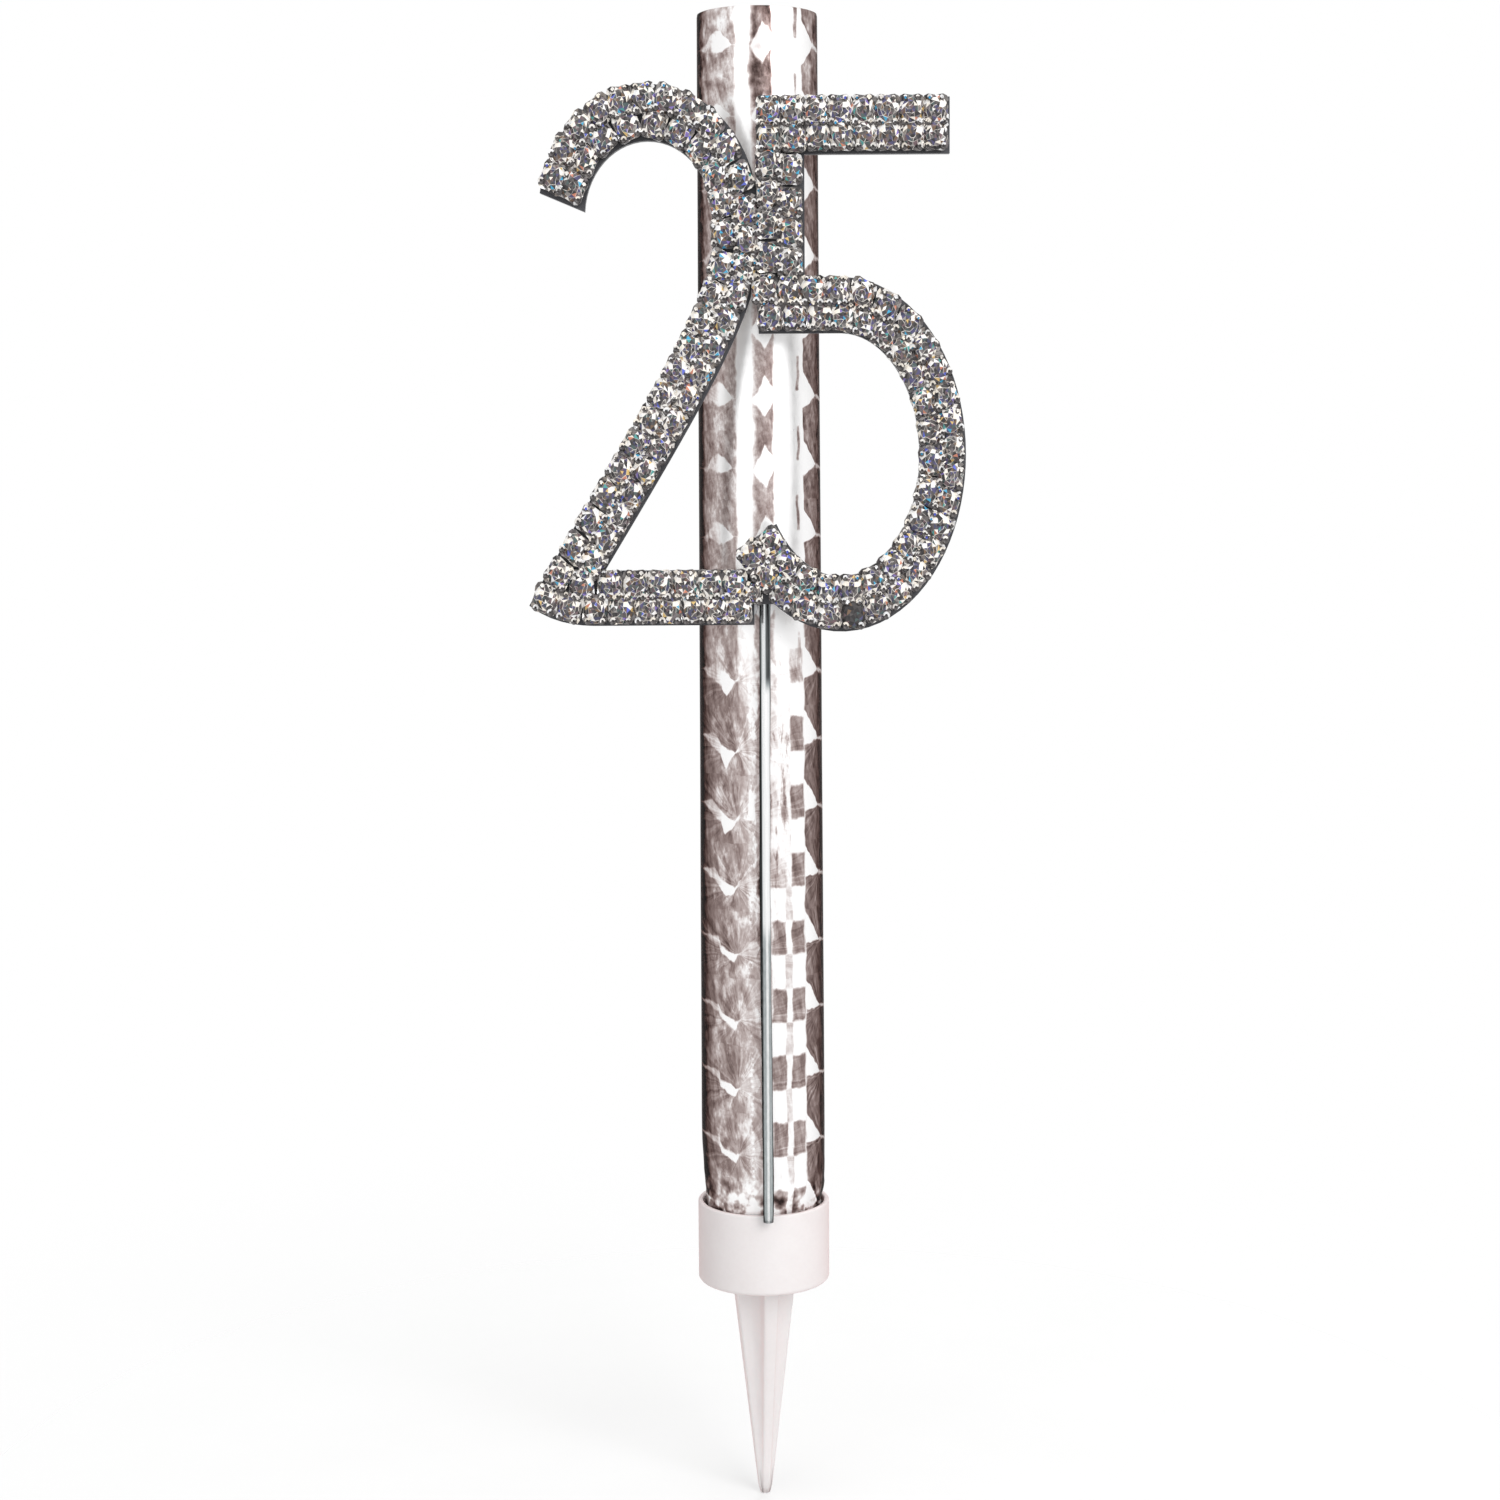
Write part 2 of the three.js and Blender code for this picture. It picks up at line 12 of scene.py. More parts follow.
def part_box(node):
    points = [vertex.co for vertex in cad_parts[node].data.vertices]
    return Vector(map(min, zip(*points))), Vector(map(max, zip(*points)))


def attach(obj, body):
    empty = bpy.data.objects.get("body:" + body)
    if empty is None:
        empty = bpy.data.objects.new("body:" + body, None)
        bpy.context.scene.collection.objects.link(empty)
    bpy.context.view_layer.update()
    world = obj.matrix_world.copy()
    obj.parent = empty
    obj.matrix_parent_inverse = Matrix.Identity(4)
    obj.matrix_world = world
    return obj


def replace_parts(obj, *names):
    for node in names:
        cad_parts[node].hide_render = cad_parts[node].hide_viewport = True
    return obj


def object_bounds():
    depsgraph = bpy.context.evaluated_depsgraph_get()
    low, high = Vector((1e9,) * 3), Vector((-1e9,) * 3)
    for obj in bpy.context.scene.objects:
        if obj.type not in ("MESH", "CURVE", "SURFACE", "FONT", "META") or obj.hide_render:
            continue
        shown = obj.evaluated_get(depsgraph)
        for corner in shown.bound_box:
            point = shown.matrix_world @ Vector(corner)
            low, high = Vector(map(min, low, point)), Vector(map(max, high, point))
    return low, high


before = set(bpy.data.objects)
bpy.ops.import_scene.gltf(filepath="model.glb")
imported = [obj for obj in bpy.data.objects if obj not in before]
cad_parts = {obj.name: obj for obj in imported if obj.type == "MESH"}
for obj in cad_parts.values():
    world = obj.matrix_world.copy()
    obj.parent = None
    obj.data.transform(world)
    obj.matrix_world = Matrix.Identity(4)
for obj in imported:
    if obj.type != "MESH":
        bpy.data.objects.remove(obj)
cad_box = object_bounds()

MM = 0.001
SEED = 25

# Camera, fitted to the ellipses of the cup's rim and the tube's mouth in the photograph
EYE = Vector((-1.0668, -265.0, 85.5157)) * MM
PITCH_DOWN = 0.089
ROLL = -0.0062
LENS = 63.6
SHIFT_Y = -0.05

# Light. A lamp's level is what it adds to a white surface that faces it.
WORLD_LEVEL = 0.555
LAMP_DISTANCE = 0.75
LAMPS = [
    {"name": "key", "azimuth": 34, "elevation": 29, "size": 0.45, "level": 0.49},
    {"name": "fill", "azimuth": -30, "elevation": 12, "size": 0.28, "level": 0.05},
    {"name": "top", "azimuth": 0, "elevation": 82, "size": 0.40, "level": 0.2},
    {"name": "back", "azimuth": 172, "elevation": 30, "size": 0.40, "level": 0.20},
]
AIM = Vector((0, 0, 55)) * MM
FLOOR_RADIUS = 150 * MM

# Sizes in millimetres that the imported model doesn't give by itself
SPIKE_TURN = 15  # degrees that the spike's fins are turned from facing straight forward
SPIKE_REACHES = (3.2, 0.6)  # from the axis to a fin's end, at the cup and at the tip
SPIKE_HALVES = (0.8, 0.4)  # half a fin's thickness, at the cup and at the tip
FILM_RADIUS = 5.92  # where the film is tight on the tube
FILM_LEAST = 5.86  # it is never pressed in further than this
FILM_SLACK = 0.36  # it is this much looser above the cup
FILM_HEIGHTS = (8.25, 9.85)  # it leaves the tube at the cup's rim, and is loosest at the second height
STONES_SHIFT = Vector((-0.06, 0.03))  # the chains sit a little up and left on the plate
SLIDE_REACH = 2.9  # stones push each other along their rows within this distance
ROW_PULL = 0.12  # and each sits this much closer to the row beside its own
SHEET_STRETCH = 1.2  # the number is drawn 1.2 times taller than its round stones
STONE_RADIUS = 1.19
TABLE_HEIGHT = 1.62  # heights of a stone and its cup are above the plate's front
CROWN_HEIGHT = 1.36
GIRDLE_HEIGHT = 1.0
CULET_HEIGHT = 0.25
TILE_HEIGHT = 6.775  # the film's pattern repeats up the tube
TILE_NODE_Z = 89.7
DULL_STONE = (9.8, 69.0)  # one stone of the 5 has lost its sparkle
EXTRA_STONES = [(-17.0, 71.6, 1.0), (-1.1, 70.7, 0.75)]  # x, z and size of two that fill corners of the 2
# The diagonal's extra white facets are painted highlights.
DIAGONAL_HIGHLIGHTS = 0.09  # the 2's diagonal shows more white facets, by this share


# Formulas as nodes


class Value:
    """A number in a node tree. Arithmetic with it adds math nodes."""

    def __init__(self, material, socket):
        self.material = material
        self.socket = socket

    def __add__(self, other):
        return self.material.math("ADD", self, other)

    def __sub__(self, other):
        return self.material.math("SUBTRACT", self, other)

    def __rsub__(self, other):
        return self.material.math("SUBTRACT", other, self)

    def __mul__(self, other):
        return self.material.math("MULTIPLY", self, other)

    def __abs__(self):
        return self.material.math("ABSOLUTE", self)

    __radd__ = __add__
    __rmul__ = __mul__


class Material:
    """One material's node tree, with short calls for its nodes."""

    def __init__(self, name, sockets):
        self.material = bpy.data.materials.new(name)
        self.material.use_nodes = True
        self.tree = self.material.node_tree
        self.shader = self.tree.nodes["Principled BSDF"]
        self.shade(sockets)

    def shade(self, sockets):
        for name, value in sockets.items():
            self.put(self.shader.inputs[name], value)

    def put(self, socket, value):
        if isinstance(value, Value):
            value = value.socket
        if isinstance(value, bpy.types.NodeSocket):
            self.tree.links.new(value, socket)
        elif socket.type == "RGBA" and len(value) == 3:
            socket.default_value = (*value, 1.0)
        else:
            socket.default_value = value

    def add(self, kind, inputs, **settings):
        node = self.tree.nodes.new(kind)
        for name, value in settings.items():
            setattr(node, name, value)
        for name, value in inputs.items():
            self.put(node.inputs[name], value)
        return node

    def math(self, operation, first, second=0.0):
        node = self.add("ShaderNodeMath", {0: first, 1: second}, operation=operation)
        return Value(self, node.outputs[0])

    def position(self):
        return self.add("ShaderNodeTexCoord", {}).outputs["Object"]

    def place(self):
        """The point's x, y and z in the row frame, in millimetres."""
        parts = self.add("ShaderNodeSeparateXYZ", {0: self.position()})
        return [Value(self, output) * (1 / MM) for output in parts.outputs]

    def vector(self, x, y, z):
        return self.add("ShaderNodeCombineXYZ", {0: x, 1: y, 2: z}).outputs[0]

    def noise(self, vector, scale, detail=2.0, roughness=0.5):
        inputs = {"Vector": vector, "Scale": scale, "Detail": detail, "Roughness": roughness}
        return Value(self, self.add("ShaderNodeTexNoise", inputs).outputs[0])

    def speckles(self, scale, detail=2.0, roughness=0.5):
        """Noise at the point itself. Its scale is per metre."""
        return self.noise(self.position(), scale, detail, roughness)

    def random(self, vector):
        return Value(self, self.add("ShaderNodeTexWhiteNoise", {"Vector": vector}).outputs["Value"])

    def smooth(self, value, low, high):
        """0 below low, 1 above high, and a smooth step between."""
        inputs = {"Value": value, "From Min": low, "From Max": high}
        node = self.add("ShaderNodeMapRange", inputs, interpolation_type="SMOOTHSTEP")
        return Value(self, node.outputs["Result"])

    def ramp(self, factor, stops, interpolation="LINEAR"):
        """A colour by a factor, from stops of a position and a grey or a colour."""
        node = self.add("ShaderNodeValToRGB", {0: factor})
        node.color_ramp.interpolation = interpolation
        elements = node.color_ramp.elements
        elements[1].position = stops[-1][0]
        elements[0].position = stops[0][0]
        for position, _ in stops[1:-1]:
            elements.new(position)
        for element, (_, colour) in zip(elements, stops):
            grey = isinstance(colour, (int, float))
            element.color = (colour, colour, colour, 1.0) if grey else (*colour, 1.0)
        return node.outputs["Color"]

    def level(self, factor, stops, interpolation="LINEAR"):
        """A number by a factor, from stops of a position and a number."""
        return Value(self, self.ramp(factor, stops, interpolation))

    def blend(self, factor, first, second):
        """The first number where the factor is 0, the second where it is 1."""
        return first * (1.0 - factor) + second * factor

    def mix(self, factor, first, second, blend_type="MIX"):
        node = self.tree.nodes.new("ShaderNodeMix")
        node.data_type = "RGBA"
        node.blend_type = blend_type
        for index, value in ((0, factor), (6, first), (7, second)):
            self.put(node.inputs[index], value)
        return node.outputs[2]

    def attribute(self, name):
        """A mesh attribute as a colour and its fourth value."""
        outputs = self.add("ShaderNodeAttribute", {}, attribute_name=name).outputs
        return outputs["Color"], outputs["Alpha"]

    def between(self, value, low, high, soft):
        """1 between two levels and 0 outside, with edges of a softness."""
        below_high = 1.0 - self.smooth(value, high - soft, high + soft)
        return self.smooth(value, low - soft, low + soft) * below_high

    def colour(self, factor, stops):
        self.shade({"Base Color": self.ramp(factor, stops)})

    def relief(self, height, depth, strength=1.0):
        """Bumps of a depth in millimetres."""
        inputs = {"Height": height, "Distance": depth * MM, "Strength": strength}
        self.shade({"Normal": self.add("ShaderNodeBump", inputs).outputs[0]})


# Camera, light and floor


def from_direction(azimuth, elevation, distance):
    """A point round the object: azimuth 0 is in front of it, and 90 to its right."""
    a, e = math.radians(azimuth), math.radians(elevation)
    return Vector((math.sin(a) * math.cos(e), -math.cos(a) * math.cos(e), math.sin(e))) * distance


def make_camera():
    data = bpy.data.cameras.new("camera")
    data.lens = LENS
    data.shift_y = SHIFT_Y
    data.clip_start = 0.01
    data.clip_end = 10
    camera = bpy.data.objects.new("camera", data)
    turn = Matrix.Rotation(math.pi / 2 - PITCH_DOWN, 4, "X") @ Matrix.Rotation(ROLL, 4, "Z")
    camera.matrix_world = Matrix.Translation(EYE) @ turn
    bpy.context.scene.collection.objects.link(camera)
    bpy.context.scene.camera = camera


def make_lamp(name, azimuth, elevation, size, level):
    data = bpy.data.lights.new(name, "AREA")
    data.size = size
    data.energy = level * math.pi ** 2 * LAMP_DISTANCE ** 2
    lamp = bpy.data.objects.new(name, data)
    offset = from_direction(azimuth, elevation, LAMP_DISTANCE)
    turn = offset.to_track_quat("Z", "Y").to_matrix().to_4x4()
    lamp.matrix_world = Matrix.Translation(AIM + offset) @ turn
    lamp.visible_camera = False
    bpy.context.scene.collection.objects.link(lamp)


def make_world():
    """White where the camera, metal and glass look, and the plain level elsewhere."""
    world = bpy.data.worlds.new("studio")
    bpy.context.scene.world = world
    world.use_nodes = True
    nodes, links = world.node_tree.nodes, world.node_tree.links
    path = nodes.new("ShaderNodeLightPath")
    total = path.outputs["Is Camera Ray"]
    for name in ("Is Glossy Ray", "Is Transmission Ray"):
        either = nodes.new("ShaderNodeMath")
        either.operation = "MAXIMUM"
        links.new(total, either.inputs[0])
        links.new(path.outputs[name], either.inputs[1])
        total = either.outputs[0]
    strength = nodes.new("ShaderNodeMapRange")
    strength.inputs["To Min"].default_value = WORLD_LEVEL
    links.new(total, strength.inputs["Value"])
    background = nodes["Background"]
    background.inputs["Color"].default_value = (1, 1, 1, 1)
    links.new(strength.outputs["Result"], background.inputs["Strength"])


def make_floor():
    """A pale floor under the spike's tip, which fades into the white backdrop."""
    mesh = bpy.data.meshes.new("floor")
    shape = bmesh.new()
    bmesh.ops.create_circle(shape, cap_ends=True, segments=96, radius=FLOOR_RADIUS)
    shape.to_mesh(mesh)
    shape.free()
    floor = bpy.data.objects.new("floor", mesh)
    floor.location.z = cad_box[0].z - 0.1 * MM
    bpy.context.scene.collection.objects.link(floor)
    material = Material("floor_white", {"Roughness": 0.9, "Specular IOR Level": 0.1})
    x, y, _ = material.place()
    reach = material.math("SQRT", x * x + y * y)
    material.colour(material.speckles(60.0), [(0.3, 0.97), (0.7, 0.99)])
    cover = (1.0 - material.smooth(reach, 8.0, FLOOR_RADIUS / MM)) * 0.55
    material.shade({"Alpha": cover})
    mesh.materials.append(material.material)


# Pieces


def make_piece(name, points, faces, body, material, slot, smooth=True):
    """A mesh piece from points in millimetres. It rides on a body."""
    mesh = bpy.data.meshes.new(name)
    mesh.from_pydata([Vector(point) * MM for point in points], [], faces)
    mesh.update()
    if smooth:
        mesh.shade_smooth()
    mesh.materials.append(material)
    piece = bpy.data.objects.new(name, mesh)
    bpy.context.scene.collection.objects.link(piece)
    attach(piece, body)
    return piece


def dress(node, material):
    """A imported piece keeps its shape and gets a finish."""
    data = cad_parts[node].data
    data.materials.clear()
    data.materials.append(material)


def box_mm(node):
    low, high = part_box(node)
    return low / MM, high / MM


def rings(sections, closed_ends=True):
    """Points and faces of a skin over rings of points, each ring with as many points."""
    count = len(sections[0])
    points = [point for section in sections for point in section]
    faces = []
    for i in range(len(sections) - 1):
        for j in range(count):
            a, b = i * count + j, i * count + (j + 1) % count
            faces.append((a, b, b + count, a + count))
    if closed_ends:
        faces.append(tuple(reversed(range(count))))
        faces.append(tuple(range(len(points) - count, len(points))))
    return points, faces


def arc(x, y, radius, start, end, steps):
    """Points on an arc, with its angles in degrees."""
    angles = [math.radians(start + (end - start) * i / steps) for i in range(steps + 1)]
    return [(x + radius * math.cos(a), y + radius * math.sin(a)) for a in angles]


def turned(profile, sides):
    """Points and faces of a profile of radius and height turned about Z. It closes on itself."""
    angles = [2 * math.pi * j / sides for j in range(sides)]
    sections = [
        [(radius * math.sin(angle), -radius * math.cos(angle), height) for angle in angles]
        for radius, height in profile
    ]
    points, faces = rings(sections, closed_ends=False)
    last = len(points) - sides
    faces += [(last + j, last + (j + 1) % sides, (j + 1) % sides, j) for j in range(sides)]
    return points, faces


# Cup and spike


def plastic_material(name, softness, dark, light):
    """White moulded plastic, with faint clouding, fine scratches and a soft shine. Light spreads in
    it, and its clear skin is tinted, which shows where it turns away."""
    material = Material(name, {
        "Specular IOR Level": 0.15, "Subsurface Weight": softness, "Subsurface Scale": softness * 4 * MM,
        "Subsurface Radius": (1.0, 0.9, 0.9), "Coat Weight": 1.0, "Coat IOR": 1.03, "Coat Roughness": 0.5,
        "Coat Tint": (0.977, 0.937, 0.934),
    })
    cloud = material.speckles(180.0, 4.0, 0.6)
    grain = material.speckles(2600.0, 2.0)
    tone = cloud * 0.75 + grain * 0.25
    material.colour(tone, [(0.3, dark), (0.7, light)])
    x, y, z = material.place()
    scratches = material.noise(material.vector(x * 0.6, y * 0.6, z * 8.0), 1.0, 3.0, 0.7)
    material.shade({"Roughness": material.blend(scratches, 0.34, 0.52)})
    material.relief(grain * 0.4 + scratches * 0.6, 0.01, 0.6)
    return material.material


def make_holder():
    low, high = box_mm("holder")
    outer, top = high.x, high.z
    bottom_round, inner_round, lip_round, wall, floor = 0.45, 0.3, 0.2, 0.55, 0.8
    pinhole = 0.02  # the turned profile stays just clear of the axis
    profile = [(pinhole, 0)]
    profile += arc(outer - bottom_round, bottom_round, bottom_round, -90, 0, 8)
    profile += arc(outer - lip_round, top - lip_round, lip_round, 0, 90, 5)
    profile += arc(outer - wall + lip_round, top - lip_round, lip_round, 90, 180, 5)
    profile += arc(outer - wall - inner_round, floor + inner_round, inner_round, 0, -90, 4)
    profile += [(pinhole, floor)]
    plastic = plastic_material("cup_plastic", 0.1, (0.92, 0.907, 0.907), (0.972, 0.975, 0.975))
    cup = make_piece("cup", *turned(profile, 160), "holder", plastic, "cup_plastic")
    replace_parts(cup, "holder")
    # The spike's plastic is the cup's, painted a little darker as painted shade.
    make_spike(low.z, plastic_material("spike_plastic", 0.85, (0.87, 0.86, 0.86), (0.92, 0.915, 0.915)))


def spike_section(reach, half, z):
    """A cross with rounded ends and filleted inner corners, at a height. It is turned a little."""
    end_round = min(0.22, half * 0.55)
    fillet = min(0.9, (reach - half) * 0.5)
    quarter = arc(half + fillet, half + fillet, fillet, -90, -180, 4)
    quarter = arc(reach - end_round, half - end_round, end_round, 0, 90, 3) + quarter
    quarter += arc(half - end_round, reach - end_round, end_round, 0, 90, 3)
    points = []
    for turn in range(4):
        angle = math.radians(SPIKE_TURN) + turn * math.pi / 2
        c, s = math.cos(angle), math.sin(angle)
        points += [(c * x - s * y, s * x + c * y, z) for x, y in quarter]
    return points


def make_spike(foot, material):
    """The cross-shaped spike. It narrows to a blunt tip and flares a little into the cup."""
    root, flare_width, flare_height, stations = 0.3, 0.35, 0.8, 26
    sections = []
    for i in range(stations + 1):
        z = foot + (root - foot) * (i / stations)
        share = max(0.0, z / foot)
        reach, half = [near + (far - near) * share for near, far in (SPIKE_REACHES, SPIKE_HALVES)]
        tip = min(1.0, 0.8 + (z - foot) / 0.5)
        flare = flare_width * max(0.0, 1 + min(0.0, z) / flare_height) ** 2
        sections.append(spike_section((reach + flare * 0.3) * tip, (half + flare) * tip, z))
    make_piece("spike", *rings(sections), "holder", material, "cup_plastic")


# Tube, film and what is inside


class FilmPlace:
    """Where a point of the film is, and its surface there. angle is in degrees, 0 in front, over the
    tube's front half and again over its back. row numbers the tiles, and along is the height above a
    tile's node, in tiles. low is 1 below the number, and foot is 1 at the tube's foot."""

    def __init__(self, m):
        x, y, z = m.place()
        half_turn = m.math("FLOORED_MODULO", m.math("ARCTAN2", x, y * -1.0) * (180 / math.pi) + 90.0, 180.0)
        wave = (m.noise(m.vector(x, y, z * 0.4), 0.9, 2.0, 0.5) - 0.5) * 7.0
        ripple = (m.noise(m.vector(y, z, x), 0.9, 2.0, 0.5) - 0.5) * 0.1
        height = (z - TILE_NODE_Z) * (1 / TILE_HEIGHT) + ripple
        self.m, self.z = m, z
        self.angle = half_turn - 90.0 + wave
        self.turn = (half_turn + wave) * (1 / 180)
        self.row = m.math("ROUND", height)
        self.along = height - self.row
        self.chance = m.random(m.vector(self.row, 3.0, 1.0))
        self.low = 1.0 - m.smooth(z + self.chance * 6.0, 58.0, 76.0)
        self.foot = 1.0 - m.smooth(z, 34.0, 46.0)
        self.haze = m.smooth(m.noise(m.vector(x * 0.55, y * 0.55, z * 0.3), 1.0, 4.0, 0.7), 0.44, 0.68)
        # A noise for patches that are painted darker on the right.
        self.dark_patches = m.smooth(m.noise(m.vector(y * 1.1, x * 1.1, z * 0.24), 1.0, 4.0, 0.7), 0.5, 0.7)
        self.brushed = m.noise(m.vector(x * 2.2, y * 2.2, z * 0.9), 1.0, 5.0, 0.75)
        self.mottled = m.noise(m.vector(x, y, z), 1.7, 4.0, 0.6)
        # The folds' noise gives their relief and also their painted highlights and shade.
        self.fold_relief_and_shade = m.noise(m.vector(x, y, z), 0.75, 2.0, 0.5)

    def level(self, design):
        """A number by the angle, from stops of an angle and a number."""
        return self.m.level(self.turn, [((angle + 90) / 180, value) for angle, value in design])


def film_band(m, at):
    """Kites on the left, which become a zigzag band towards the foot."""
    middle, reach = [
        m.blend(at.low, at.level(upper), m.blend(at.foot, at.level(between), at.level(lower)))
        for upper, between, lower in BAND_MIDDLES_AND_REACHES
    ]
    return 1.0 - m.smooth(abs(at.along + 0.5 - middle) - reach * (0.8 + at.chance * 0.4), -0.025, 0.02)


def film_ground(m, at):
    """The tone between the marks: painted reflections as streaks up the tube, painted shade towards its
    sides, hazy on the left, a painted shadow right of the middle, and darker patches on the right.
    """
    angle, along, low, haze, dark_patches = at.angle, at.along, at.low, at.haze, at.dark_patches
    # Painted reflection and painted shade by the angle round the tube.
    tone = m.blend(low, at.level(UPPER_TONE), at.level(LOWER_TONE))
    tone = tone + haze * m.between(angle, -54.0, -6.0, 5.0) * (0.22 + low * 0.12)
    tone = tone + m.between(angle, -11.5, -5.0, 1.5) * low * (1.0 - at.foot) * (0.1 + haze * 0.5)
    # A painted shadow right of the middle, below the number and above the foot.
    shadow = m.between(angle, 2.0, 15.0, 1.5) * m.between(along, -0.1, 0.42, 0.04) * low * (1.0 - at.foot)
    tone = m.blend(shadow * (0.3 + dark_patches * 0.7), tone, 0.52)
    return tone - dark_patches * m.between(angle, -6.0, 44.0, 3.0) * low * m.smooth(at.z, 30.0, 40.0) * 0.5


def film_blocks(m, at, tone):
    """Painted blocks of reflected light below the number's foot, with bridges between them, and narrow dashes
    above it.
    """
    angle, along, low = at.angle, at.along, at.low
    # The part of each tile that is painted lit, as painted reflection.
    lit = 1.0 - m.between(along, -0.15, 0.35, 0.03)
    lowest = 1.0 - m.smooth(at.z, 38.0, 46.0)
    outer_blocks = m.between(angle, 28.0, 43.0, 1.2) * low
    inner_blocks = m.between(angle, 9.0, 23.0, 1.2) * lowest
    narrowing = (0.5 - along) * 2.6 * (1.0 - lit)
    bridge = m.between(abs(angle - 25.5), -9.0, 3.6 - narrowing, 0.8) * lowest
    gap = 1.0 - m.between(along, -0.43, 0.06, 0.03)
    dash = m.between(angle, 36.5, 40.0, 1.0) * gap * (1.0 - low)
    tone = m.blend(outer_blocks, tone, 0.46 + lit * 0.65)
    tone = m.blend(inner_blocks, tone, 0.48 + lit * 0.58 - at.dark_patches * 0.16)
    tone = m.blend(bridge, tone, 0.98 - lit * 0.2)
    return m.blend(dash, tone, 0.5)


def film_marks(m, at, tone):
    """Beads beside the band, white lenses in the middle, and on the right right-angled triangles with
    a spark, a painted glint, beside each. They are the film's pattern, in painted tones of reflected light."""
    angle, along, z, low = at.angle, at.along, at.z, at.low
    beads = m.between(angle, -11.5, -9.0, 0.7) * m.smooth(m.math("SINE", z * 11.0), -0.2, 0.6)
    lens_reach = abs(angle - 5.0) * (1 / 12.0) + abs(along + 0.02 - (angle - 5.0) * 0.005) * (1 / 0.3)
    lens = (1.0 - m.smooth(lens_reach, 0.85, 1.1)) * (1.0 - low)
    spread = (66.0 - angle) * (1 / 22)
    triangle = m.between(angle, 44.0, 66.0, 1.0)
    triangle = triangle * (1.0 - m.smooth(along - spread * (0.36 + low * 0.08), -0.02, 0.02))
    triangle = triangle * m.smooth(along + spread * m.math("MAXIMUM", z - 35.0, 0.0) * 0.0036, -0.02, 0.02)
    spark = m.between(angle, 66.0, 88.0, 1.5) * (1.0 - m.smooth(abs(along + spread * -0.07), 0.005, 0.045))
    tone = tone + beads * low * (0.05 + at.haze * 0.25)
    tone = m.blend(lens, tone, 1.15)
    tone = m.blend(triangle, tone, 1.15)
    return m.blend(spark, tone, 0.8)


def film_grain(m, at, tone):
    """Fine lines that run to the nodes, brushed mottling, and the painted highlights and shade of
    crumples at the foot and the mouth, whose front is painted darker as shade.
    """
    angle, along, low = at.angle, at.along, at.low
    right = m.smooth(angle, 42.0, 44.0)
    fan = m.math("ARCTAN2", along * TILE_HEIGHT + (1.0 - right) * 0.8, (angle + 23.0 - right * 89.0) * 0.105)
    fans = m.noise(m.vector(fan * 5.0, at.row * 3.0, right * 5.0), 1.0, 4.0, 0.75) - 0.5
    fans = fans * (1.0 - m.smooth(abs(along), 0.34, 0.5))
    slant = m.noise(m.vector(angle * 0.13 + along * 2.2, at.row * 5.0 + along * 1.1, 7.0), 1.0, 3.0, 0.6)
    grain = (at.brushed - 0.5) * (0.65 - low * 0.25) + (at.mottled - 0.5) * (0.5 - low * 0.3)
    grain = grain + (slant - 0.5) * 0.7 + fans * (0.5 + low * 0.6 + right * 0.4)
    # At the foot and the mouth, the folds' highlights and shade are painted into the tone, and the mouth's
    # front is painted darker as shade.
    crumpled = 1.0 - m.smooth(at.z, 8.0, 13.5)
    mouth = m.smooth(at.z, 112.0, 119.0)
    dim = 1.0 - m.smooth(tone, 0.65, 1.1) * 0.75
    tone = tone + grain * dim * (1.0 - crumpled * 0.6) + ((at.fold_relief_and_shade - 0.5) * 3.4 + 0.2) * crumpled
    return tone + ((at.fold_relief_and_shade - 0.5) * 0.9 + 0.1 - m.between(angle, -9.0, 14.0, 2.0) * 0.36) * mouth


def film_material():
    """Silver holographic film. Each tile of its pattern mirrors the room in its own tone, which is painted
    into its colour as painted reflection and painted shade.
    """
    m = Material("holographic_film", {
        "Metallic": 0.8, "Specular Tint": (0.22, 0.19, 0.18), "Specular IOR Level": 0.1,
    })
    at = FilmPlace(m)
    band = film_band(m, at)
    tone = film_blocks(m, at, film_ground(m, at))
    tone = m.blend(band, tone, at.level(BAND_TONE))
    tone = film_grain(m, at, film_marks(m, at, tone))
    m.colour(tone, [
        (0.0, (0.03, 0.02, 0.019)), (0.2, (0.115, 0.078, 0.072)), (0.42, (0.28, 0.212, 0.2)),
        (0.62, (0.5, 0.42, 0.405)), (0.82, (0.8, 0.75, 0.74)), (0.98, (1.0, 0.995, 0.995)),
    ])
    m.shade({"Roughness": m.blend(at.mottled, 0.22, 0.42)})
    m.relief(at.brushed * 0.5 + at.fold_relief_and_shade * 0.5 + band * 0.3, 0.04, 0.7)
    return m.material


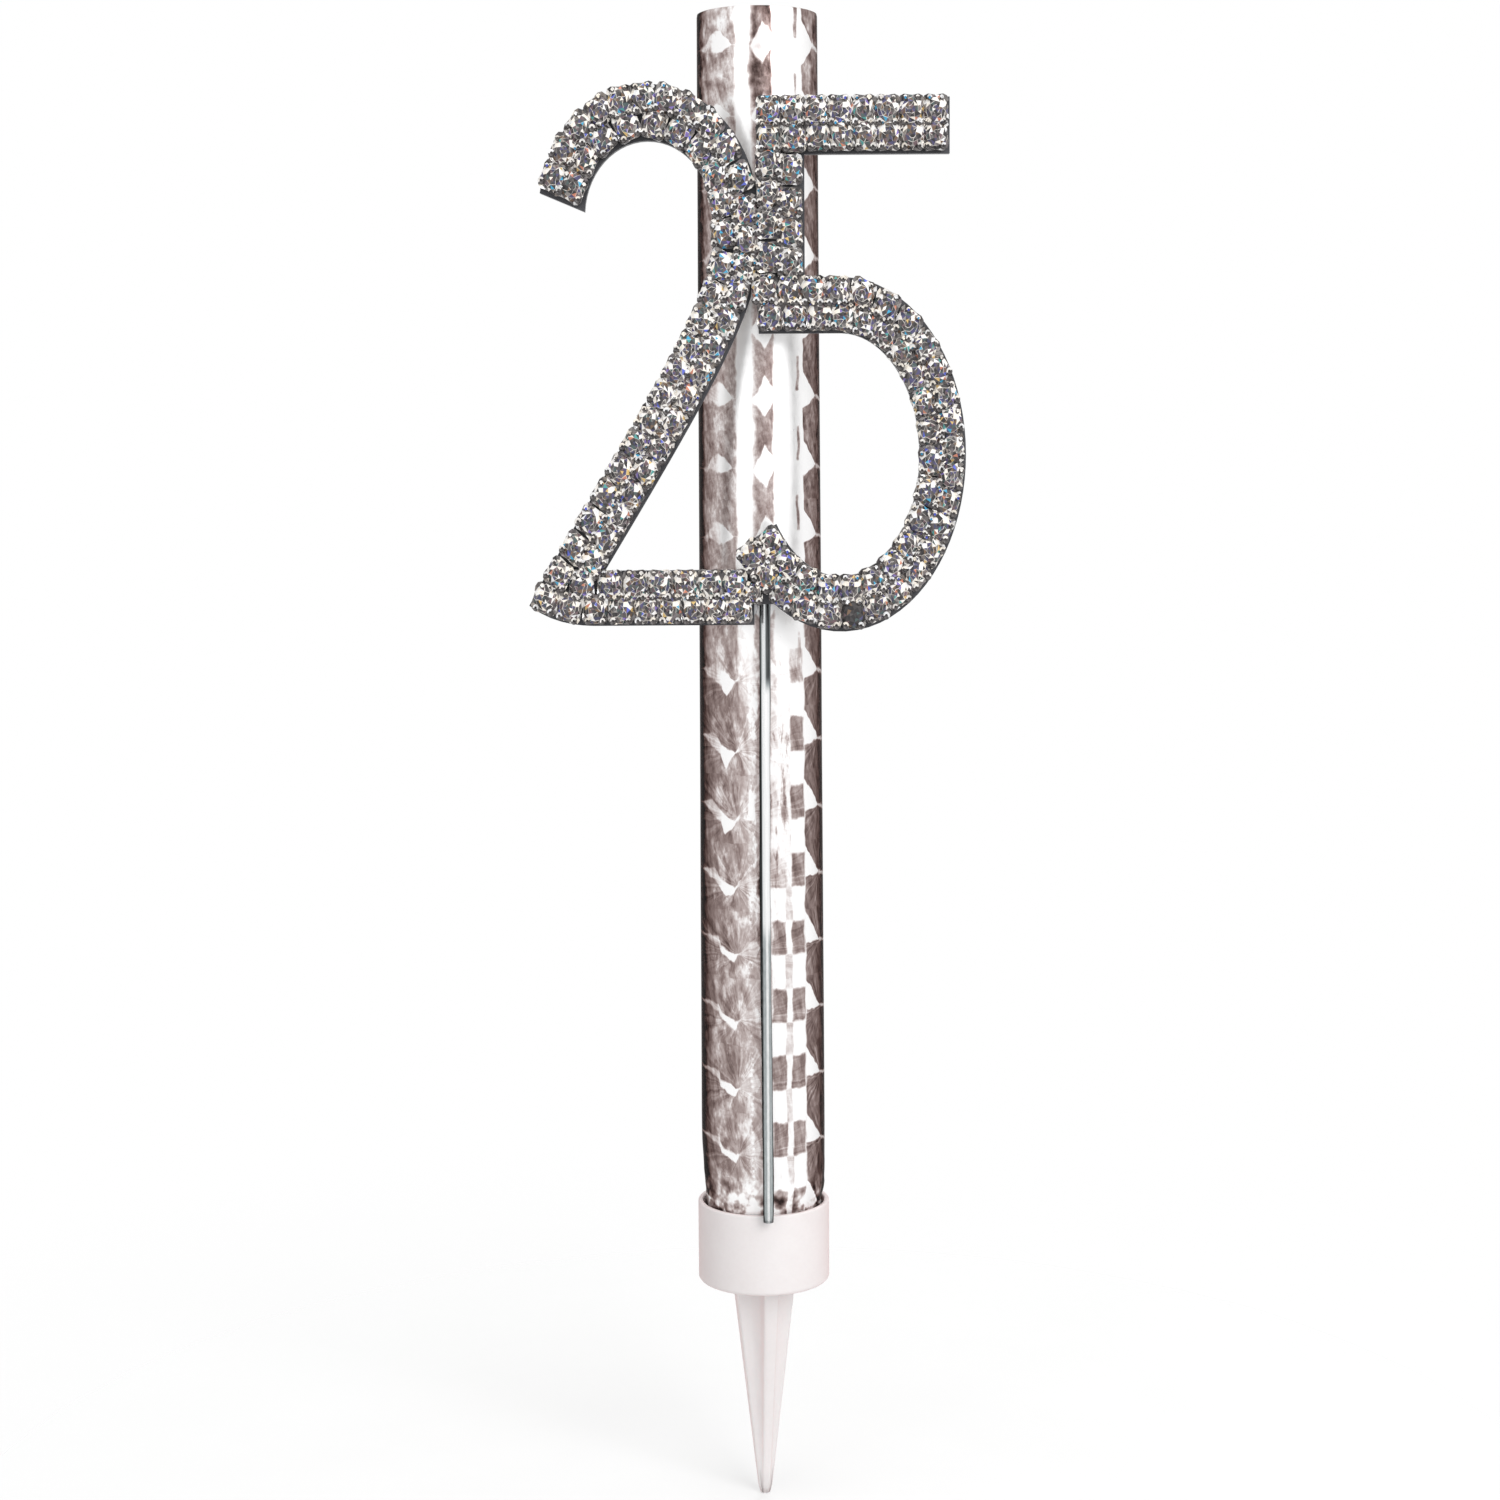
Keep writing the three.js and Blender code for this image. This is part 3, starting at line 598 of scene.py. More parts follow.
# The film's design over the half turn that faces front: angles in degrees, 0 in front. The middle
# of the band is in tiles above half a tile under the node, its reach is in tiles. Both are for the
# tube's upper part, the part below the number and its foot.
BAND_MIDDLES_AND_REACHES = [
    (
        [(-66, 0.45), (-58, 0.44), (-50, 0.53), (-42, 0.52), (-35, 0.5), (-24, 0.46)],
        [
            (-67, 0.552), (-50, 0.5), (-41, 0.365), (-35.3, 0.25), (-28.5, 0.28), (-25.5, 0.323),
            (-20.0, 0.42), (-8, 0.5),
        ],
        [
            (-75, 0.583), (-59.5, 0.573), (-45, 0.531), (-42, 0.406), (-26, 0.31), (-22.4, 0.365),
            (-14.8, 0.433), (-2, 0.46),
        ],
    ),
    (
        [(-68, 0.0), (-60, 0.05), (-54, 0.05), (-49, 0.1), (-42, 0.15), (-35, 0.13), (-26, 0.0)],
        [
            (-70, 0.0), (-66, 0.03), (-50, 0.13), (-41, 0.1), (-35.3, 0.17), (-28.5, 0.08), (-25.5, 0.01),
            (-20, 0.06), (-12, 0.0),
        ],
        [
            (-78, 0.015), (-59.5, 0.03), (-45, 0.065), (-42, 0.05), (-27, 0.067), (-22.4, 0.01), (-14.8, 0.1),
            (-5, 0.13), (-2, 0.0),
        ],
    ),
]
# Tones by angle: the white stops are painted reflections of the lamps, and the fall to dark towards ±90 is
# painted shade where the tube turns away.
BAND_TONE = [(-80, 0.62), (-48, 0.7), (-42, 0.9), (-38, 1.1), (-24, 1.1), (-20, 0.74), (-6, 0.78)]
UPPER_TONE = [
    (-90, 0.0), (-72, 0.0), (-67, 0.09), (-61, 0.44), (-40, 0.55), (-23, 0.58), (-20, 1.15), (-8, 1.15),
    (-6, 0.84), (-3, 0.58), (6, 0.52), (12, 0.52), (14.5, 1.15), (45, 1.15), (46, 0.42), (62, 0.38),
    (72, 0.26), (84, 0.1), (90, 0.05),
]
LOWER_TONE = [
    (-90, 0.0), (-74, 0.0), (-68, 0.08), (-60, 0.32), (-46, 0.4), (-30, 0.42), (-20, 0.56),
    (-12, 0.64), (-4, 0.62), (6, 0.6), (10, 0.95), (28, 0.95), (43, 1.05), (45, 0.4), (60, 0.34),
    (68, 0.2), (78, 0.08), (90, 0.02),
]


def film_radius(radius, angle, z):
    """The film's radius: smooth on the tube, pressed in and crumpled where it enters the cup, and
    wavy inside the mouth."""
    rim, loose = FILM_HEIGHTS
    inside_mouth = z > 100 and radius < 5.8
    if inside_mouth:
        wave = noise.noise(Vector((math.sin(angle) * 2.6, math.cos(angle) * 2.6, z * 0.4)))
        return radius - 0.1 * abs(wave)
    point = Vector((math.sin(angle) * 1.9, math.cos(angle) * 1.9, z * 0.35))
    near = math.exp(-((z - loose) / 3.2) ** 2)
    creases = noise.noise(point * 1.6) + 0.5 * noise.noise(point * 3.4)
    flat = noise.noise(Vector((math.sin(angle) * 1.3, math.cos(angle) * 1.3, z * 0.06)))
    pressed = 0.34 * near * max(0.0, math.cos(angle + math.radians(62))) ** 2
    radius = radius + 0.02 * flat - pressed - near * 0.16 * (0.4 + creases)
    least = FILM_LEAST + (0.004 if z < rim else 0.02)
    return max(least, radius)


def make_film():
    """The wrap: up the tube, over its mouth and a little way down inside."""
    low, high = box_mm("foil_wrap")
    lip_radius, lip_foot, edge = 4.44, 124.4, 0.4
    rim, loose = FILM_HEIGHTS
    tight, slack = FILM_RADIUS, FILM_SLACK
    profile = [(tight, low.z), (tight, 5.0), (tight, rim)]
    profile += [(tight + slack * i / 4, rim + (loose - rim) * i / 4) for i in range(1, 5)]
    steps = 150
    top = high.z - edge
    for i in range(1, steps + 1):
        share = i / steps
        profile.append((tight + slack * (1 - share), loose + (top - loose) * share))
    profile += arc(tight - edge, top, edge, 15, 90, 5)
    profile += arc(lip_radius + edge, top, edge, 90, 180, 5)
    profile += [(lip_radius, top - 0.6), (lip_radius, (top + lip_foot) / 2), (lip_radius, lip_foot)]
    sections = []
    sides = 224
    for radius, height in profile:
        ring = []
        for j in range(sides):
            angle = 2 * math.pi * j / sides
            r = film_radius(radius, angle, height)
            ring.append((r * math.sin(angle), -r * math.cos(angle), height))
        sections.append(ring)
    points, faces = rings(sections, closed_ends=False)
    film = make_piece("foil_film", points, faces, "fountain", film_material(), "foil")
    shell = film.modifiers.new("thickness", "SOLIDIFY")
    shell.thickness = 0.06 * MM
    shell.offset = -1
    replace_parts(film, "foil_wrap")


def paper_material(name, dark, light, lines):
    """Wound paper, with fibres and faint lines where the strips meet."""
    material = Material(name, {"Roughness": 0.85, "Specular IOR Level": 0.2})
    x, y, z = material.place()
    fibres = material.noise(material.vector(x * 3.0, y * 3.0, z * 14.0), 1.0, 4.0, 0.7)
    wound = material.math("SINE", z * lines + material.math("ARCTAN2", x, y))
    tone = fibres + material.smooth(wound, 0.9, 1.0) * -0.2
    material.colour(tone, [(0.25, dark), (0.75, light)])
    material.relief(fibres, 0.03)
    return material.material


def powder_material(name, dark, light, grain):
    """Pressed powder, with grains of two shades."""
    material = Material(name, {"Roughness": 0.9})
    grains = material.speckles(grain, 5.0, 0.75)
    material.colour(grains, [(0.35, dark), (0.65, light)])
    material.relief(grains, 0.08)
    return material.material


def wick_material():
    """A green wick with dark powder in its twist."""
    material = Material("wick", {"Roughness": 0.85})
    x, y, z = material.place()
    fibres = material.noise(material.vector(x * 9.0, y * 9.0, z * 3.0), 1.0, 4.0, 0.7)
    specks = material.speckles(3000.0, 2.0)
    tone = fibres * 0.7 + specks * 0.3
    material.colour(tone, [(0.3, (0.03, 0.045, 0.02)), (0.7, (0.16, 0.23, 0.1))])
    material.relief(fibres, 0.05)
    return material.material


def twisted(length, radius, turns_per_mm, taper_end):
    """Sections of a three-strand cord along Z from 0, with its lay."""
    sections = []
    count, stations = 24, max(8, int(length / 0.18))
    for i in range(stations + 1):
        z = length * i / stations
        end = min(1.0, 0.75 + (length - z) / 0.4) if taper_end else 1.0
        ring = []
        for j in range(count):
            angle = 2 * math.pi * j / count
            strand = abs(math.cos(1.5 * (angle - 2 * math.pi * turns_per_mm * z)))
            r = radius * end * (0.8 + 0.2 * strand)
            ring.append((r * math.cos(angle), r * math.sin(angle), z))
        sections.append(ring)
    return sections


def make_fuse():
    material = wick_material()
    low, high = box_mm("fuse_root")
    x, radius = (low.x + high.x) / 2, (high.x - low.x) / 2
    shaft = twisted(high.z - radius - low.z, radius, 0.28, False)
    sections = [[(x + a, b, low.z + c) for a, b, c in ring] for ring in shaft]
    edge = sections[-1]
    for share in (0.35, 0.65, 0.87, 0.97):  # rings of its round top
        r = math.sqrt(1 - share ** 2)
        sections.append([(x + (a - x) * r, b * r, high.z - radius + radius * share) for a, b, _ in edge])
    root = make_piece("wick_root", *rings(sections), "fountain", material, "wick")
    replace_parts(root, "fuse_root")
    low, high = box_mm("fuse_tip")
    middle = (low.z + high.z) / 2
    tip = twisted(high.x - low.x, radius, 0.28, True)
    sections = [[(low.x + c, a, middle + b) for a, b, c in ring] for ring in tip]
    free = make_piece("wick_tip", *rings(sections), "fuse", material, "wick")
    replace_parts(free, "fuse_tip")


def make_inside():
    kraft = paper_material("tube_paper", (0.42, 0.36, 0.28), (0.66, 0.6, 0.5), 1.4)
    dress("paper_tube", kraft)
    dress("top_disc", paper_material("disc_paper", (0.58, 0.54, 0.48), (0.78, 0.74, 0.68), 0.3))
    dress("base_plug", powder_material("clay", (0.36, 0.28, 0.2), (0.55, 0.44, 0.32), 700.0))
    dress("charge", powder_material("charge_powder", (0.07, 0.065, 0.06), (0.2, 0.19, 0.18), 1500.0))
    dress("primer", powder_material("primer_powder", (0.02, 0.018, 0.016), (0.09, 0.08, 0.07), 1800.0))
    make_fuse()


# Number plate, stem, solder and glue


def plate_material():
    """Dark lacquered metal, brushed. Its back is bare and pale."""
    material = Material("plate_metal", {"Metallic": 0.6})
    x, y, z = material.place()
    brushed = material.noise(material.vector(x * 2.0, y * 2.0, z * 22.0), 1.0, 3.0, 0.6)
    cloud = material.speckles(300.0, 3.0)
    tone = brushed * 0.5 + cloud * 0.5
    rear = box_mm("number_plate")[1].y
    back = material.smooth(y, rear - 0.1, rear - 0.05)
    front = material.ramp(tone, [(0.3, (0.05, 0.05, 0.056)), (0.7, (0.1, 0.1, 0.108))])
    bare = material.ramp(tone, [(0.3, (0.52, 0.51, 0.5)), (0.7, (0.74, 0.73, 0.72))])
    material.shade({"Base Color": material.mix(back, front, bare)})
    material.shade({"Roughness": material.blend(cloud, 0.35, 0.55)})
    material.relief(brushed, 0.01)
    return material.material


def make_plate():
    dress("number_plate", plate_material())
    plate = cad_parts["number_plate"]
    edge = plate.modifiers.new("soft_edge", "BEVEL")
    edge.width = 0.07 * MM
    edge.segments = 2
    edge.limit_method = "ANGLE"
    edge.angle_limit = math.radians(50)


# Painted reflection and shade: what the wire mirrors from its left to its right side, in its low, top and
# high part
WIRE_LOW = [(0.0, 0.0), (0.1, 0.05), (0.18, 0.46), (0.36, 0.45), (0.44, 0.82), (0.58, 0.88), (0.66, 0.45),
            (0.84, 0.52), (0.92, 0.05), (1.0, 0.0)]
WIRE_TOP = [(0.0, 0.05), (0.1, 0.1), (0.2, 0.75), (0.45, 0.8), (0.55, 0.12), (0.8, 0.02), (0.9, 0.3),
            (1.0, 0.1)]
WIRE_HIGH = [(0.0, 0.0), (0.08, 0.0), (0.16, 0.8), (0.5, 1.0), (0.82, 0.95), (0.9, 0.2), (1.0, 0.0)]


def wire_material():
    """Drawn steel wire, polished, with drawing marks. What it mirrors is painted into its colour: a dark
    line of painted shade down each side and painted bright reflections between.
    """
    m = Material("drawn_wire", {"Metallic": 1.0, "Specular Tint": (0.2, 0.2, 0.2)})
    low, high = box_mm("pick_stem")
    x, y, z = m.place()
    across = (x - (low.x + high.x) / 2) * (2 / (high.x - low.x)) * 0.5 + 0.5
    marks = m.noise(m.vector(x * 10.0, y * 10.0, z * 0.35), 1.0, 4.0, 0.7)
    spots = m.noise(m.vector(x * 5.0, y * 5.0, z * 1.6), 1.0, 2.0)
    high_part = m.smooth(z, 35.5, 38.5)
    profile = m.blend(high_part, m.level(across, WIRE_LOW), m.level(across, WIRE_HIGH))
    profile = m.blend(m.smooth(z, 60.5, 62.5), profile, m.level(across, WIRE_TOP))
    # The painted reflection and shade across the wire, with drawing marks and spots.
    tone = profile + (marks - 0.5) * 0.25 + (spots - 0.5) * 0.25 * (1.0 - high_part)
    m.colour(tone, [(0.0, (0.03, 0.033, 0.033)), (0.5, (0.4, 0.43, 0.435)), (1.0, (0.94, 0.945, 0.945))])
    m.shade({"Roughness": m.blend(marks, 0.15, 0.35)})
    m.relief(marks, 0.015)
    return m.material


def make_stem():
    low, high = box_mm("pick_stem")
    x, y, radius = (low.x + high.x) / 2, (low.y + high.y) / 2, (high.x - low.x) / 2
    sides, stations, bow, wobble = 32, 60, 0.16, 0.015
    sections = []
    for i in range(stations + 1):
        z = low.z + (high.z - low.z) * i / stations
        end = 0.93 if i in (0, stations) else 1.0
        wave = wobble * math.sin(z * 0.53 + 1) - bow * math.sin(math.pi * i / stations) ** 2
        sections.append([(x + wave + radius * end * 0.97 * math.cos(2 * math.pi * j / sides),
                          y + radius * end * math.sin(2 * math.pi * j / sides), z) for j in range(sides)])
    stem = make_piece("wire_stem", *rings(sections), "fountain", wire_material(), "stem_wire")
    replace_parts(stem, "pick_stem")


def solder_material():
    material = Material("solder", {"Metallic": 1.0, "Roughness": 0.35})
    cloud = material.speckles(900.0, 4.0, 0.6)
    material.colour(cloud, [(0.3, (0.3, 0.3, 0.31)), (0.7, (0.62, 0.62, 0.63))])
    material.relief(cloud, 0.05)
    return material.material


def glue_material():
    """Set hot glue: milky, glossy, with small bubbles."""
    material = Material("hot_glue", {"Roughness": 0.2, "IOR": 1.48})
    cloud = material.speckles(500.0, 3.0)
    bubbles = material.speckles(2500.0, 1.0)
    material.colour(cloud, [(0.3, (0.72, 0.7, 0.63)), (0.7, (0.86, 0.85, 0.8))])
    material.relief(bubbles, 0.03)
    return material.material


def make_solder():
    """The bead of solder: a lump that fills its box, boxier than a ball and a little uneven."""
    low, high = box_mm("stem_solder")
    centre, half = (low + high) / 2, (high - low) / 2
    wobble, boxiness = 0.2, 0.72
    shape = bmesh.new()
    bmesh.ops.create_icosphere(shape, subdivisions=5, radius=1.0)
    points = []
    for vertex in shape.verts:
        lump = Vector([math.copysign(abs(c) ** boxiness, c) for c in vertex.co])
        lump *= 1 - wobble * (0.5 + 0.5 * noise.noise(vertex.co * 2.2 + Vector((centre.z, 0, 0))))
        points.append([middle + reach * c for middle, reach, c in zip(centre, half, lump)])
    faces = [[vertex.index for vertex in face.verts] for face in shape.faces]
    shape.free()
    solder = make_piece("solder_bead", points, faces, "fountain", solder_material(), "solder")
    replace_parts(solder, "stem_solder")


def make_glue():
    glue = glue_material()
    for node in ("upper_glue_pad", "lower_glue_pad"):
        dress(node, glue)


# Stones in their cups


@dataclass
class Stone:
    """A stone on the unstretched sheet. along is its row's direction."""

    row: str
    centre: Vector
    along: Vector
    size: float = 1.0


def packed_stones(row):
    """The stones of a packed row, found by their flat tables."""
    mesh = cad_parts[row].data
    front = min(vertex.co.y for vertex in mesh.vertices)
    corners = {(round(v.co.x / MM, 3), round(v.co.z / MM / SHEET_STRETCH, 3))
               for v in mesh.vertices if v.co.y < front + 0.01 * MM}
    corners = [Vector(corner) for corner in sorted(corners)]
    tables = []
    while corners:
        table = [corners.pop()]
        for point in table:
            near = [corner for corner in corners if (corner - point).length < 0.7]
            corners = [corner for corner in corners if corner not in near]
            table += near
        tables.append(table)
    centres = [sum(table, Vector((0, 0))) / len(table) for table in tables]
    stones = []
    for centre in centres:
        others = sorted((c for c in centres if c is not centre), key=lambda c: (c - centre).length)
        along = (others[0] - centre).normalized() if others else Vector((1, 0))
        stones.append(Stone(row, centre, along))
    return stones


class Setting:
    """Gathers the meshes that repeat at each stone of a row, with a colour for each face."""

    def __init__(self, front):
        self.front = front
        self.points = []
        self.faces = []
        self.colours = []

    def place(self, centre, along, radius, angle, height):
        """A point of a stone by its polar place on the sheet and its height above the plate."""
        c, s = math.cos(angle) * radius, math.sin(angle) * radius
        x = centre.x + along.x * c - along.y * s
        w = centre.y + along.y * c + along.x * s
        return (x, self.front - height, w * SHEET_STRETCH)

    def add(self, points, faces, colours):
        start = len(self.points)
        self.points += points
        self.faces += [tuple(start + i for i in face) for face in faces]
        self.colours += colours

    def finish(self, name, material):
        piece = make_piece(name, self.points, self.faces, "fountain", material, "stones", smooth=False)
        tones = piece.data.color_attributes.new("tone", "FLOAT_COLOR", "CORNER")
        corners = piece.data.color_attributes.new("corner", "FLOAT_COLOR", "CORNER")
        for polygon, colour in zip(piece.data.polygons, self.colours):
            for k, loop in enumerate(polygon.loop_indices):
                tones.data[loop].color = colour
                corners.data[loop].color = [float(k % 3 == axis) for axis in range(3)] + [1.0]
        return piece


# Facet colours, all painted reflections: charcoals, greys and tints for what a stone shows inside over its
# foil, whites for painted highlights, and fires for the painted colours of fire.
CHARCOALS = [(0.06, 0.056, 0.058), (0.09, 0.084, 0.086), (0.13, 0.118, 0.12), (0.17, 0.153, 0.15)]
GREYS = [(0.26, 0.245, 0.24), (0.4, 0.375, 0.36), (0.24, 0.21, 0.22), (0.33, 0.29, 0.26)]
HIGHLIGHT_WHITES = [(1.0, 0.98, 0.94), (1.0, 0.93, 0.82), (1.0, 0.96, 0.92), (0.97, 0.98, 1.0)]
FIRES = [
    (0.1, 0.5, 0.78), (0.16, 0.2, 0.75), (0.3, 0.22, 0.6), (0.88, 0.62, 0.25), (0.75, 0.3, 0.2),
    (0.12, 0.42, 0.4),
]
TINTS = [(0.13, 0.12, 0.24), (0.24, 0.16, 0.11), (0.11, 0.15, 0.15), (0.22, 0.15, 0.165), (0.1, 0.1, 0.17)]


def pick(rng, shares):
    """A colour from the first palette whose share the draw falls in."""
    draw = rng.random()
    for palette, share in shares:
        draw -= share
        if draw < 0:
            return rng.choice(palette)
    return rng.choice(CHARCOALS)


def gem_shape(gems, stone, spin):
    """Points and faces of a brilliant: a table with a star in it, a crown of two tiers, a girdle and
    a point below."""
    tiers = [
        (0.3, 8, TABLE_HEIGHT), (0.56, 8, TABLE_HEIGHT - 0.02),
        (0.8, 16, CROWN_HEIGHT), (1.0, 16, GIRDLE_HEIGHT),
    ]
    centre, along, radius = stone.centre, stone.along, STONE_RADIUS * stone.size
    points = [gems.place(centre, along, 0, 0, TABLE_HEIGHT)]
    starts = []
    for tier, (share, count, height) in enumerate(tiers):
        starts.append((len(points), count))
        for k in range(count):
            angle = 2 * math.pi * (k + spin + 0.5 * tier) / count
            points.append(gems.place(centre, along, share * radius, angle, height))
    culet = len(points)
    points.append(gems.place(centre, along, 0, 0, CULET_HEIGHT))
    faces = [(0, 1 + k, 1 + (k + 1) % 8) for k in range(8)]
    for (a, a_count), (b, b_count) in zip(starts, starts[1:]):
        faces += tier_faces(a, a_count, b, b_count)
    girdle, count = starts[-1]
    faces += [(girdle + k, culet, girdle + (k + 1) % count) for k in range(count)]
    return points, faces


def facet_colour(rng, share, flash, bright):
    """The painted reflection a facet shows, by its share of the stone's radius; flash facets are painted
    highlights. bright is an added share of white.
    """
    if flash:
        return pick(rng, [(HIGHLIGHT_WHITES, 0.92)])
    if share < 0.55:
        return pick(rng, [(HIGHLIGHT_WHITES, 0.03), (FIRES, 0.02), (TINTS, 0.33), (GREYS, 0.04)])
    return pick(rng, [(HIGHLIGHT_WHITES, 0.11 + bright), (FIRES, 0.08), (TINTS, 0.28), (GREYS, 0.2)])


def add_gem(gems, stone, rng):
    """A cut stone with a dark middle. Two kites of its crown, at its upper left and upper right,
    are painted white as highlights, and a third anywhere may be."""
    centre = stone.centre
    dull = (Vector((centre.x, centre.y * SHEET_STRETCH)) - Vector(DULL_STONE)).length < 1.0
    bright = DIAGONAL_HIGHLIGHTS if "diagonal" in stone.row else 0.0
    points, faces = gem_shape(gems, stone, rng.random())
    # Angles and half-widths of the crown's painted highlights.
    highlight_angles = [(90 + side * rng.uniform(42, 66), rng.uniform(9, 16)) for side in (-1, 1)]
    highlight_angles.append((rng.uniform(0, 360) - 180, rng.choice((0, 0, 8))))
    colours = []
    for face in faces:
        middle = sum((Vector(points[i]) for i in face), Vector()) / 3
        offset = Vector((middle.x - centre.x, middle.z / SHEET_STRETCH - centre.y))
        share = offset.length / (STONE_RADIUS * stone.size)
        angle = math.degrees(math.atan2(offset.y, offset.x))
        flash = share > 0.38 and any(abs(angle - at) < half for at, half in highlight_angles)
        if dull:
            colours.append((*pick(rng, [(CHARCOALS[:2], 0.6), (TINTS, 0.3)]), 0.0))
        else:
            colour = facet_colour(rng, share, flash, bright)
            colours.append((*colour, rng.choice((0.0, 0.0, 0.5, 1.0))))
    gems.add(points, faces, colours)


def tier_faces(a, a_count, b, b_count):
    """Triangles between two rings of a stone, the outer one with as many or twice as many."""
    faces = []
    if a_count == b_count:
        for k in range(a_count):
            after = (k + 1) % a_count
            faces += [(a + k, b + k, a + after), (a + after, b + k, b + after)]
        return faces
    for k in range(a_count):
        first, second, third = 2 * k, (2 * k + 1) % b_count, (2 * k + 2) % b_count
        faces += [(a + k, b + first, b + second), (a + k, b + second, b + third),
                  (a + k, b + third, a + (k + 1) % a_count)]
    return faces


def add_turned(setting, middle, along, profile, sides, tones):
    """A small turned shape on the plate: rings of a radius, a height and a squareness between two
    poles. Square rings rise towards their corners. tones gives the colour of a band at an angle."""
    points = [setting.place(middle, along, 0, 0, profile[0][1])]
    for radius, height, square in profile[1:-1]:
        for k in range(sides):
            angle = 2 * math.pi * k / sides
            reach = radius * (1 + square * math.sin(2 * angle) ** 2)
            points.append(setting.place(middle, along, reach, angle, height + 0.5 * (reach - radius)))
    points.append(setting.place(middle, along, 0, 0, profile[-1][1]))
    last = len(points) - 1
    faces, colours = [], []
    for k in range(sides):
        after = (k + 1) % sides
        faces.append((0, 1 + after, 1 + k))
        for ring in range(len(profile) - 3):
            a = 1 + ring * sides
            faces.append((a + k, a + after, a + sides + after, a + sides + k))
        faces.append((last, last - sides + k, last - sides + after))
        colours += [tones(band, 2 * math.pi * (k + 0.5) / sides) for band in range(len(profile) - 1)]
    setting.add(points, faces, colours)


DARK_METAL = (0.11, 0.1, 0.1, 1.0)
GREY_METAL = (0.27, 0.25, 0.24, 1.0)


def add_cup(cups, stone, rng):
    """A drawn metal cup that holds the stone, closed below. It is square enough to fill the corners
    between stones, where its rim is painted bright here, as a painted highlight, and dark there."""
    r = STONE_RADIUS * stone.size
    profile = [(0.0, 0.02, 0), (r * 0.9, 0.02, 0.25), (r * 0.95, 0.12, 0.32), (r * 0.97, 0.5, 0.34),
               (r * 0.97, 0.92, 0.34), (r * 0.99, 0.97, 0.02), (r * 0.7, 0.5, 0), (0.0, 0.2, 0)]

    def tones(band, _):
        # The rim band gets a painted highlight, a grey painted reflection or charcoal; the rest is dark
        # metal.
        return pick(rng, [(HIGHLIGHT_WHITES, 0.2), (GREYS, 0.35)]) + (1.0,) if band == 4 else DARK_METAL

    add_turned(cups, stone.centre, stone.along, profile, 24, tones)


def add_claw(cups, stone, sides, rng):
    """A claw: a small round tab near a stone's corner, with a painted highlight as a bright arch on one side.
    Those above a stone are bright, with painted reflections in their hollows, and those below it are dark
    hollows under the painted arch."""
    along, across = stone.along, Vector((-stone.along.y, stone.along.x))
    above = (along * 0.73 * sides[0] + across * 0.95 * sides[1]).y > 0
    spread, rise = (0.58, 0.92) if above else (0.73, 0.94)
    middle = stone.centre + (along * spread * sides[0] + across * rise * sides[1]) * stone.size
    s = rng.uniform(0.19, 0.26) if above else rng.uniform(0.28, 0.34)
    profile = [(0.0, 0.05, 0), (s * 0.9, 0.05, 0), (s, 0.9, 0), (s, 1.45, 0),
               (s * 0.75, 1.58, 0), (s * 0.45, 1.52, 0), (0.0, 1.4, 0)]
    # Painted colours: a white highlight, and a blue reflection of the stones' fire.
    bright = (*rng.choice(HIGHLIGHT_WHITES), 1.0)
    blue = (*rng.choice(FIRES[:2]), 1.0)
    hollow = rng.choice((bright, bright, GREY_METAL, DARK_METAL, blue)) if above else DARK_METAL
    # The painted highlight's arch faces the angle lit, and width sets how narrow it is.
    lit, width = rng.uniform(1.2, 2.0), rng.uniform(-0.2, 0.5)

    def tones(band, at):
        if band < 3:
            return GREY_METAL if band == 2 else DARK_METAL
        if band < 5:
            return bright if math.cos(at - lit) > width else DARK_METAL
        return hollow

    add_turned(cups, middle, Vector((1, 0)), profile, 12, tones)


def stone_material():
    """Clear stone over dark foil. Each facet is painted with what it mirrors inside as its own tone, a
    painted reflection, and some of its edges are painted as fine lines of glinting light."""
    m = Material("rhinestone", {"Roughness": 0.06, "IOR": 1.5, "Specular IOR Level": 0.2})
    corners = m.add("ShaderNodeSeparateXYZ", {0: m.attribute("corner")[0]}).outputs
    tone, line = m.attribute("tone")
    # Painted glints: fine bright lines along the facet edges that the tone's fourth value marks.
    edge = (1.0 - m.smooth(Value(m, corners[0]), 0.07, 0.17)) * Value(m, line)
    cloud = m.speckles(1800.0, 3.0, 0.6)
    shade = m.ramp(cloud, [(0.35, 0.8), (0.48, 1.0)])
    shaded = m.mix(1.0, tone, shade, "MULTIPLY")
    m.shade({"Base Color": m.mix(edge, shaded, (0.98, 0.93, 0.86))})
    # White facets and bright edges glow as painted light.
    add_painted_glow(m, tone, edge)
    return m.material


def add_painted_glow(m, tone, edge=0.0):
    """White facets and bright edges glow a little: painted light, given off as emission."""
    lit = m.smooth(Value(m, tone), 0.85, 0.93) + edge * 0.5
    m.shade({"Emission Color": (1.0, 0.95, 0.88), "Emission Strength": lit * 0.14})


def cup_metal_material():
    """Plated metal of the cups and claws: bright on its rims with painted highlights, dark elsewhere, and
    unevenly worn; its whitest parts glow as painted light.
    """
    m = Material("cup_metal", {"Metallic": 0.25})
    wear = m.speckles(1500.0, 3.0, 0.6)
    shade = m.ramp(wear, [(0.35, 0.6), (0.55, 1.0)])
    tone, _ = m.attribute("tone")
    m.shade({"Base Color": m.mix(1.0, tone, shade, "MULTIPLY")})
    m.shade({"Roughness": m.blend(wear, 0.2, 0.4)})
    # The bright bands glow as painted light.
    add_painted_glow(m, tone)
    return m.material


